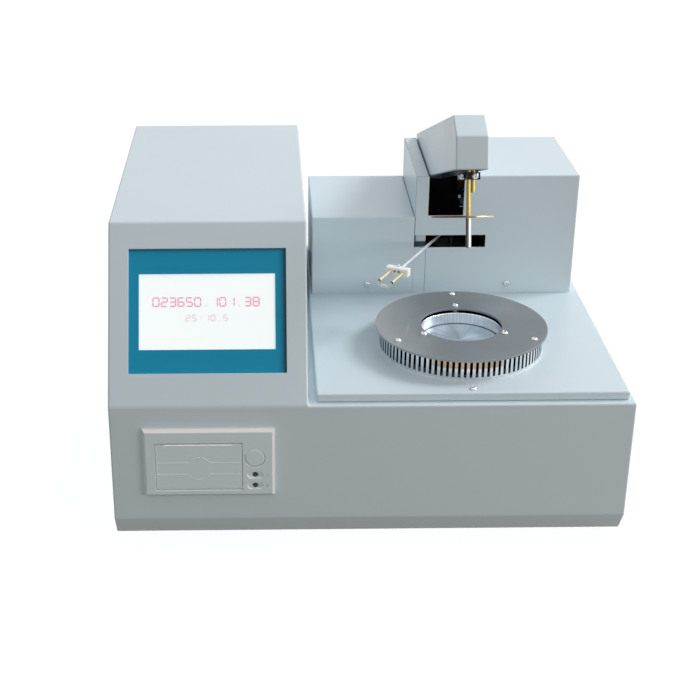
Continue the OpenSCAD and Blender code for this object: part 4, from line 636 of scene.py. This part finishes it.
# Node: width of the rounding in millimetres
EASED = {
    "hood_tabs": 0.2, "closing_strip": 0.25, "rear_panel": 0.2, "base_plate": 0.2, "feet": 0.8,
    "screen_panel": 0.15, "display_module": 0.15, "printer_bezel": 0.4, "printer_door": 0.2,
    "release_button": 0.25, "upper_key": 0.15, "lower_key": 0.15, "heater_cover_disc": 0.2,
    "heater_block": 0.25, "arm_frame": 0.2, "arm_shaft": 0.3, "probe_bracket": 0.2, "probe_clamp": 0.3,
    "wire_tube": 0.08, "ring_tube": 0.15, "temperature_probe": 0.15, "ceramic_block": 0.3,
    "electrode_posts": 0.12, "igniter_hub": 0.3, "igniter_rod": 0.1, "mains_inlet": 0.35,
    "switch_frame": 0.35, "power_rocker": 0.3, "fuse_drawer": 0.25, "fan_frame": 0.4, "fan_rotor": 0.2,
    "printer_chassis": 0.25, "lift_motor": 0.4, "igniter_motor": 0.4, "arm_brackets": 0.25,
    "shaft_bushes": 0.15, "paper_roll": 0.15, "platen_roller": 0.2, "heater_pan": 0.2,
    "power_supply": 0.3, "controller_board": 0.1, "inlet_blades": 0.15, "disc_pillars": 0.1,
    "case_screws": 0.08, "disc_screws": 0.08, "clamp_screws": 0.08, "igniter_screws": 0.08,
}
SMOOTHED = [
    "slotted_skirt", "detection_ring", "sector_gear", "lift_pinion", "fan_guard", "heating_element",
    "heater_insulation", "glow_coil",
]

slot_of = {row["node"]: row["material_slot"] for row in frame["record"]["subparts"]}
for name, ob in nodes.items():
    ob.data.materials.clear()
    ob.data.materials.append(MATERIALS[BY_NODE.get(name, slot_of[name])])
    if name in SHELLS:
        width, segments, fine, planes = SHELLS[name]
        ease(ob, width, segments, fine=fine, planes=planes)
    elif name in EASED:
        ease(ob, EASED[name])
for name in SMOOTHED:
    smoothed(nodes[name])


# Detail pieces


UPRIGHT = Matrix.Rotation(math.radians(90), 4, "X")  # turns Z to the front


def slope_frame():
    """X across, Y up the screen face, Z out of it, with its origin on the front edge; in millimetres."""
    turn = Matrix.Rotation(math.radians(90) - SLOPE_LEAN, 4, "X")
    return Matrix.Translation(Vector((0, SLOPE_BASE[0], SLOPE_BASE[1])) * MM) @ turn @ Matrix.Scale(MM, 4)


def front_frame():
    """X to the right, Y up, Z out of the front face, in millimetres of the case's own frame."""
    return Matrix.Translation(Vector((0, -MID_Y, FOOT_H)) * MM) @ UPRIGHT @ Matrix.Scale(MM, 4)


def igniter_frame():
    place = Matrix.Translation(Vector(IGNITER_PIVOT) * MM)
    return place @ Matrix.Rotation(math.radians(IGNITER_TURN), 4, "Z") @ Matrix.Scale(MM, 4)


def prism(bm, outline, low, high):
    """An outline in X and Y raised from low to high."""
    rings = [[bm.verts.new((x, y, z)) for x, y in outline] for z in (low, high)]
    bm.faces.new(list(reversed(rings[0])))
    bm.faces.new(rings[1])
    count = len(outline)
    for i in range(count):
        j = (i + 1) % count
        bm.faces.new((rings[0][i], rings[0][j], rings[1][j], rings[1][i]))


def rectangle(x0, y0, x1, y1):
    return [(x0, y0), (x1, y0), (x1, y1), (x0, y1)]


def circle(x, y, r, count):
    step = 2 * math.pi / count
    return [(x + r * math.cos(i * step), y + r * math.sin(i * step)) for i in range(count)]


def revolve(bm, profile, count, matrix):
    """A closed profile of (radius, height) turned about Z; radius 0 is allowed at its ends."""
    rings = []
    for r, z in profile:
        if r < 1e-6:
            rings.append([bm.verts.new((0, 0, z))])
        else:
            rings.append([bm.verts.new((x, y, z)) for x, y in circle(0, 0, r, count)])
    closed = profile[0][0] > 1e-6
    pairs = list(zip(rings, rings[1:])) + ([(rings[-1], rings[0])] if closed else [])
    for low, high in pairs:
        for i in range(count):
            j = (i + 1) % count
            quad = [low[i % len(low)], low[j % len(low)], high[j % len(high)], high[i % len(high)]]
            face = list(dict.fromkeys(quad))
            if len(face) > 2:
                bm.faces.new(face)
    bmesh.ops.transform(bm, matrix=matrix, verts=[v for ring in rings for v in ring])


def tube(bm, points, radius, sides=8):
    """A round tube along a list of points, closed at both ends."""
    points = [Vector(p) for p in points]
    rings = []
    side = None
    for i, p in enumerate(points):
        ahead = (points[min(i + 1, len(points) - 1)] - points[max(i - 1, 0)]).normalized()
        if side is None:
            side = ahead.orthogonal().normalized()
        side = (side - ahead * side.dot(ahead)).normalized()
        other = ahead.cross(side)
        rings.append([bm.verts.new(p + radius * (u * side + v * other)) for u, v in circle(0, 0, 1, sides)])
    for low, high in zip(rings, rings[1:]):
        for k in range(sides):
            n = (k + 1) % sides
            bm.faces.new((low[k], low[n], high[n], high[k]))
    bm.faces.new(list(reversed(rings[0])))
    bm.faces.new(rings[-1])


def piece(name, bm, matrix, body, material, soften=0.0, segments=2):
    """Turns a mesh built in millimetres into a piece that rides on a body."""
    bmesh.ops.transform(bm, matrix=matrix, verts=bm.verts)
    bmesh.ops.recalc_face_normals(bm, faces=bm.faces)
    mesh = bpy.data.meshes.new(name)
    bm.to_mesh(mesh)
    bm.free()
    mesh.materials.append(MATERIALS[material])
    ob = bpy.data.objects.new(name, mesh)
    scene.collection.objects.link(ob)
    ease(ob, soften or 0.02, segments if soften else 1)
    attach(ob, body)
    return ob


# Readout on the screen: seven segment numbers in two rows
SEGMENTS = {
    "0": "abcdef", "1": "bc", "2": "abged", "3": "abgcd", "4": "fgbc",
    "5": "afgcd", "6": "afgedc", "7": "abc", "8": "abcdefg", "9": "abcdfg",
}


def digit(bm, char, x, y, w, h, t, low, high):
    """One seven segment digit, w by h in bars t thick, with its lower left corner at (x, y)."""
    half = h / 2
    bars = {
        "a": (x, y + h, x + w, y + h), "b": (x + w, y + half, x + w, y + h),
        "c": (x + w, y, x + w, y + half), "d": (x, y, x + w, y), "e": (x, y, x, y + half),
        "f": (x, y + half, x, y + h), "g": (x, y + half, x + w, y + half),
    }
    gap, r = t * 0.08, t / 2
    for letter in SEGMENTS[char]:
        x0, y0, x1, y1 = bars[letter]
        if y0 == y1:
            x0, x1 = x0 + gap, x1 - gap
            low_side = [(x0 + r, y0 - r), (x1 - r, y0 - r)]
            high_side = [(x1 - r, y0 + r), (x0 + r, y0 + r)]
        else:
            y0, y1 = y0 + gap, y1 - gap
            low_side = [(x0 + r, y0 + r), (x0 + r, y1 - r)]
            high_side = [(x0 - r, y1 - r), (x0 - r, y0 + r)]
        prism(bm, [(x0, y0)] + low_side + [(x1, y1)] + high_side, low, high)


def readout(bm, text, depth, centre, y, w, h, t, pitch):
    """A row of digits, dots and colons, centred, each `pitch` from the next."""
    x = centre - (len(text) - 1) * pitch / 2 - w / 2
    for char in text:
        if char in SEGMENTS:
            digit(bm, char, x, y, w, h, t, *depth)
        elif char == ".":
            prism(bm, circle(x + w / 2, y + 0.3, 0.55, 10), *depth)
        elif char == ":":
            for dot in (h * 0.28, h * 0.72):
                prism(bm, circle(x + w / 2, y + dot, 0.5, 10), *depth)
        x += pitch


GLASS = -3.0  # the display lies this far behind the screen face
INK = (GLASS - 0.02, GLASS + 0.05)
bm = bmesh.new()
readout(bm, "023650.101.38", INK, centre=-136.5, y=83.6, w=4.9, h=7.0, t=1.15, pitch=6.9)
piece("screen_numbers", bm, slope_frame(), "case", "pink")
bm = bmesh.new()
readout(bm, "25:10.5", INK, centre=-136.0, y=71.4, w=3.2, h=4.8, t=0.85, pitch=5.2)
piece("screen_time", bm, slope_frame(), "case", "pale_pink")

# Printer: tear edge along the door's top, ribs beside the keys, and their printed numbers
DOOR_FACE = 4.2
DOOR_TOP = 94.2
TEAR_X = (-172.0, -116.0)
TEETH = 37
STOPS_X = (-173.4, -125.6)
bm = bmesh.new()
tear_left, tear_right = TEAR_X
blade = rectangle(tear_left, DOOR_TOP - 1.15, tear_right, DOOR_TOP - 0.35)
prism(bm, blade, DOOR_FACE - 0.3, DOOR_FACE + 0.32)
for i in range(TEETH):
    x = tear_left + i * (tear_right - tear_left) / TEETH
    prism(bm, [(x + 0.1, DOOR_TOP - 0.4), (x + 1.4, DOOR_TOP - 0.4), (x + 0.75, DOOR_TOP + 0.02)],
          DOOR_FACE - 0.05, DOOR_FACE + 0.25)
piece("tear_edge", bm, front_frame(), "door", "bright_steel", 0.08, 1)
bm = bmesh.new()
for x in STOPS_X:
    prism(bm, rectangle(x, DOOR_TOP - 2.0, x + 1.5, DOOR_TOP - 1.2), DOOR_FACE - 0.3, DOOR_FACE + 0.15)
piece("tear_edge_stops", bm, front_frame(), "door", "bezel_plastic", 0.1, 1)

# Beads along the grooves of the band and round its disc, lighter than the bezel as a painted highlight
BAND_Z, BAND_HALF, DISC_R, DOOR_MID = 71.75, 5.45, 10.35, -143.75
BEAD_R, BEAD_LOW, BEAD_REACH = 0.4, 0.42, 35.4
SIDE_BEADS = (DOOR_MID - 34.9, DOOR_MID + 35.5)
bm = bmesh.new()
start = math.asin(BAND_HALF / DISC_R)
arc = [math.pi - start - (math.pi - 2 * start) * i / 20 for i in range(21)]
for side in (-1, 1):
    path = [(DOOR_MID - BEAD_REACH, side * BAND_HALF)]
    path += [(DOOR_MID + DISC_R * math.cos(a), side * DISC_R * math.sin(a)) for a in arc]
    path += [(DOOR_MID + BEAD_REACH, side * BAND_HALF)]
    tube(bm, [(x, BAND_Z + y - BEAD_LOW, DOOR_FACE) for x, y in path], BEAD_R)
for x in SIDE_BEADS:
    tube(bm, [(x, DOOR_TOP - down, DOOR_FACE - 0.2) for down in (42.0, 2.6)], BEAD_R)
piece("door_beads", bm, front_frame(), "door", "bezel_painted_highlight")

KEY_X = -97.1
KEY_Z = (64.7, 54.5)
BEZEL_FACE = 4.6
RECESS_FACE = BEZEL_FACE - 1.2
bm = bmesh.new()
for z in KEY_Z:
    for i in range(3):
        x = KEY_X + 2.9 + i * 0.95
        h = 1.9 - i * 0.35
        prism(bm, rectangle(x, z - h, x + 0.45, z + h), RECESS_FACE - 0.1, RECESS_FACE + 0.7)
piece("key_ribs", bm, front_frame(), "case", "bezel_plastic", 0.08, 1)
BEZEL_INK = (BEZEL_FACE - 0.02, BEZEL_FACE + 0.03)
bm = bmesh.new()
for char, z in zip("12", KEY_Z):
    digit(bm, char, KEY_X + 9.6, z - 0.9, 1.1, 1.8, 0.34, *BEZEL_INK)
piece("key_numbers", bm, front_frame(), "case", "grey_ink")

# Round button: a raised ring moulded in the bezel round it, lighter than the bezel as a painted highlight
BUTTON = (-97.1, 80.8)
bm = bmesh.new()
profile = [(8.6, -0.2), (8.95, -0.2), (8.95, 0), (8.88, 0.04), (8.7, 0.04), (8.6, 0)]
revolve(bm, profile, 64, Matrix.Translation((*BUTTON, BEZEL_FACE)))
piece("button_ring", bm, front_frame(), "case", "bezel_painted_highlight")

# Glow coil: a wound wire on two leads, in front of the brass posts
COIL_LEN, COIL_R, COIL_WIRE, COIL_TURNS = 6.8, 1.3, 0.34, 9
COIL_Y, COIL_Z, POST_X = -IGNITER_REACH - 2.4, -3.4, 5.9
STEPS = 16  # points for each turn
lead = [(-POST_X, -IGNITER_REACH + 3, 0), (-POST_X, COIL_Y + 0.5, 0), (-POST_X + 0.15, COIL_Y, -0.5),
        (-POST_X + 0.4, COIL_Y, COIL_Z + 0.9), (-POST_X + 1.0, COIL_Y, COIL_Z + 0.2),
        (-COIL_LEN / 2 - 0.6, COIL_Y, COIL_Z - 0.6)]
wire = list(lead)
for i in range(COIL_TURNS * STEPS + 1):
    a = 2 * math.pi * i / STEPS - math.pi / 2
    along = -COIL_LEN / 2 + COIL_LEN * i / (COIL_TURNS * STEPS)
    wire.append((along, COIL_Y + COIL_R * math.cos(a), COIL_Z + COIL_R * math.sin(a)))
wire += [(-x, y, z) for x, y, z in reversed(lead)]
bm = bmesh.new()
tube(bm, wire, COIL_WIRE)
coil = piece("glow_winding", bm, igniter_frame(), "igniter", "glow")
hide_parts("glow_coil")

# Set screws on the posts, each with a near-black bar on top as painted shade for its slot
SCREW_Y = -IGNITER_REACH + 2.6
bm = bmesh.new()
for side in (-1, 1):
    top = Matrix.Translation((side * POST_X, SCREW_Y, 1.35))
    revolve(bm, [(0, 0), (0.85, 0), (0.85, 0.45), (0.6, 0.62), (0, 0.62)], 20, top)
piece("post_screws", bm, igniter_frame(), "igniter", "screw_chrome", 0.05, 1)
bm = bmesh.new()
for side in (-1, 1):
    x = side * POST_X
    prism(bm, rectangle(x - 0.6, SCREW_Y - 0.1, x + 0.6, SCREW_Y + 0.1), 1.9, 1.99)
piece("post_screw_slots", bm, igniter_frame(), "igniter", "dark")

# Near-black discs on the tips of the posts, as painted shade for their wire holes
bm = bmesh.new()
for side in (-1, 1):
    tip = Matrix.Translation((side * POST_X, -IGNITER_REACH, 0)) @ UPRIGHT
    revolve(bm, [(0, -0.1), (1.32, -0.1), (1.32, 0.06), (0, 0.06)], 24, tip)
piece("post_holes", bm, igniter_frame(), "igniter", "dark")

# Two eyelets in the ceramic between the posts, black as painted shade for their holes
CERAMIC_FRONT = IGNITER_REACH - 25
EYELET_X, EYELET_Z = 1.9, 0.6
bm = bmesh.new()
for side in (-1, 1):
    face = Matrix.Translation((0, -CERAMIC_FRONT, 0)) @ UPRIGHT
    eye = face @ Matrix.Translation((side * EYELET_X, EYELET_Z, 0))
    revolve(bm, [(0.35, -0.4), (1.0, -0.4), (1.0, 0.18), (0.8, 0.3), (0.5, 0.3), (0.35, 0.1)], 24, eye)
piece("ceramic_eyelets", bm, igniter_frame(), "igniter", "black_metal", 0.05, 1)


# Camera, floor and light

YAW, PITCH, ROLL = math.radians(0.63), math.radians(24.93), math.radians(-0.18)
FOCAL_PX, PRINCIPAL, FRAME_PX = 1411.0, (280.3, 347.9), 700.0
EYE = (-0.0871, -1.20925, 0.665)

ahead = Vector((math.sin(YAW) * math.cos(PITCH), math.cos(YAW) * math.cos(PITCH), -math.sin(PITCH)))
right = Vector((math.cos(YAW), -math.sin(YAW), 0))
above = right.cross(ahead)
across = math.cos(ROLL) * right + math.sin(ROLL) * above
upward = -math.sin(ROLL) * right + math.cos(ROLL) * above
camera = bpy.data.objects.new("camera", bpy.data.cameras.new("camera"))
scene.collection.objects.link(camera)
turn = Matrix((across, upward, -ahead)).transposed().to_4x4()
camera.matrix_world = Matrix.Translation(EYE) @ turn
camera.data.sensor_width = 36.0
camera.data.lens = 36.0 * FOCAL_PX / FRAME_PX
camera.data.shift_x = 0.5 - PRINCIPAL[0] / FRAME_PX
camera.data.shift_y = PRINCIPAL[1] / FRAME_PX - 0.5
camera.data.clip_start = 0.05
camera.data.clip_end = 60.0
scene.camera = camera


def seen_directly(tree):
    """1 for the rays that show the backdrop: from the camera, and in gloss and glass."""
    path = add_node(tree, "ShaderNodeLightPath").outputs
    most = path["Is Camera Ray"]
    for other in ("Is Glossy Ray", "Is Transmission Ray"):
        most = add_node(tree, "ShaderNodeMath", (0, most), (1, path[other]), operation="MAXIMUM").outputs[0]
    return most


def floor_material():
    g = Graph("floor", Roughness=0.9, Specular_IOR_Level=0.1)
    g.colour(g.blend(g.noise(3.0, 3.0), (0.072, 0.058, 0.042, 1.0), (0.08, 0.066, 0.05, 1.0)))
    links = [("Color", (0.96, 0.97, 0.98, 1.0)), ("Strength", seen_directly(g.tree))]
    glow = g.add("ShaderNodeEmission", *links)
    both = g.add("ShaderNodeAddShader", (0, g.bsdf.outputs[0]), (1, glow.outputs[0]))
    feed(g.tree, g.tree.nodes["Material Output"].inputs[0], both.outputs[0])
    return g.material


bm = bmesh.new()
bmesh.ops.create_grid(bm, x_segments=8, y_segments=8, size=12.0)
mesh = bpy.data.meshes.new("floor")
bm.to_mesh(mesh)
bm.free()
mesh.materials.append(floor_material())
floor = bpy.data.objects.new("floor", mesh)
floor.location = (0, 0, -0.0002)
scene.collection.objects.link(floor)


def studio_world():
    """Plain white where it is seen; as light, dimmer and warmer at the left and near the horizon."""
    world = bpy.data.worlds.new("studio")
    world.use_nodes = True
    tree = world.node_tree
    tree.nodes.clear()
    backdrop = add_node(tree, "ShaderNodeBackground", ("Color", (1, 1, 1, 1)), ("Strength", 1.0))
    direction = add_node(tree, "ShaderNodeTexCoord").outputs["Generated"]
    x, _, z = add_node(tree, "ShaderNodeSeparateXYZ", (0, direction)).outputs
    from_above = map_range(tree, z, 0.0, 0.5, 0.1, 0.65)
    from_right = map_range(tree, x, 0.0, 0.5, -1.0, 1.0)
    cool = add_node(tree, "ShaderNodeMath", (0, from_above), (1, from_right)).outputs[0]
    tint = mix_colours(tree, cool, (1.0, 0.94, 0.85, 1), (1.0, 1.012, 1.04, 1))
    strength = map_range(tree, x, 0.35, 0.84, -1.0, 1.0)
    ambient = add_node(tree, "ShaderNodeBackground", ("Color", tint), ("Strength", strength))
    links = [(0, seen_directly(tree)), (1, ambient.outputs[0]), (2, backdrop.outputs[0])]
    mix = add_node(tree, "ShaderNodeMixShader", *links)
    add_node(tree, "ShaderNodeOutputWorld", (0, mix.outputs[0]))
    return world


scene.world = studio_world()


def soft_light(name, place, aim, size, power, colour=(1, 1, 1)):
    data = bpy.data.lights.new(name, "AREA")
    data.shape = "RECTANGLE"
    data.size, data.size_y = size
    data.energy = power
    data.color = colour
    light = bpy.data.objects.new(name, data)
    light.location = place
    light.rotation_mode = "QUATERNION"
    light.rotation_quaternion = (Vector(aim) - Vector(place)).to_track_quat("-Z", "Y")
    scene.collection.objects.link(light)


soft_light("window", place=(1.86, 0.45, 1.69), aim=(0, 0, 0.2), size=(0.8, 0.8), power=32.0)
soft_light("front", place=(2.0, -1.7, 0.55), aim=(0, 0, 0.15), size=(0.9, 0.6), power=12.0,
           colour=(1.0, 0.93, 0.85))

scene.view_settings.view_transform = "Standard"
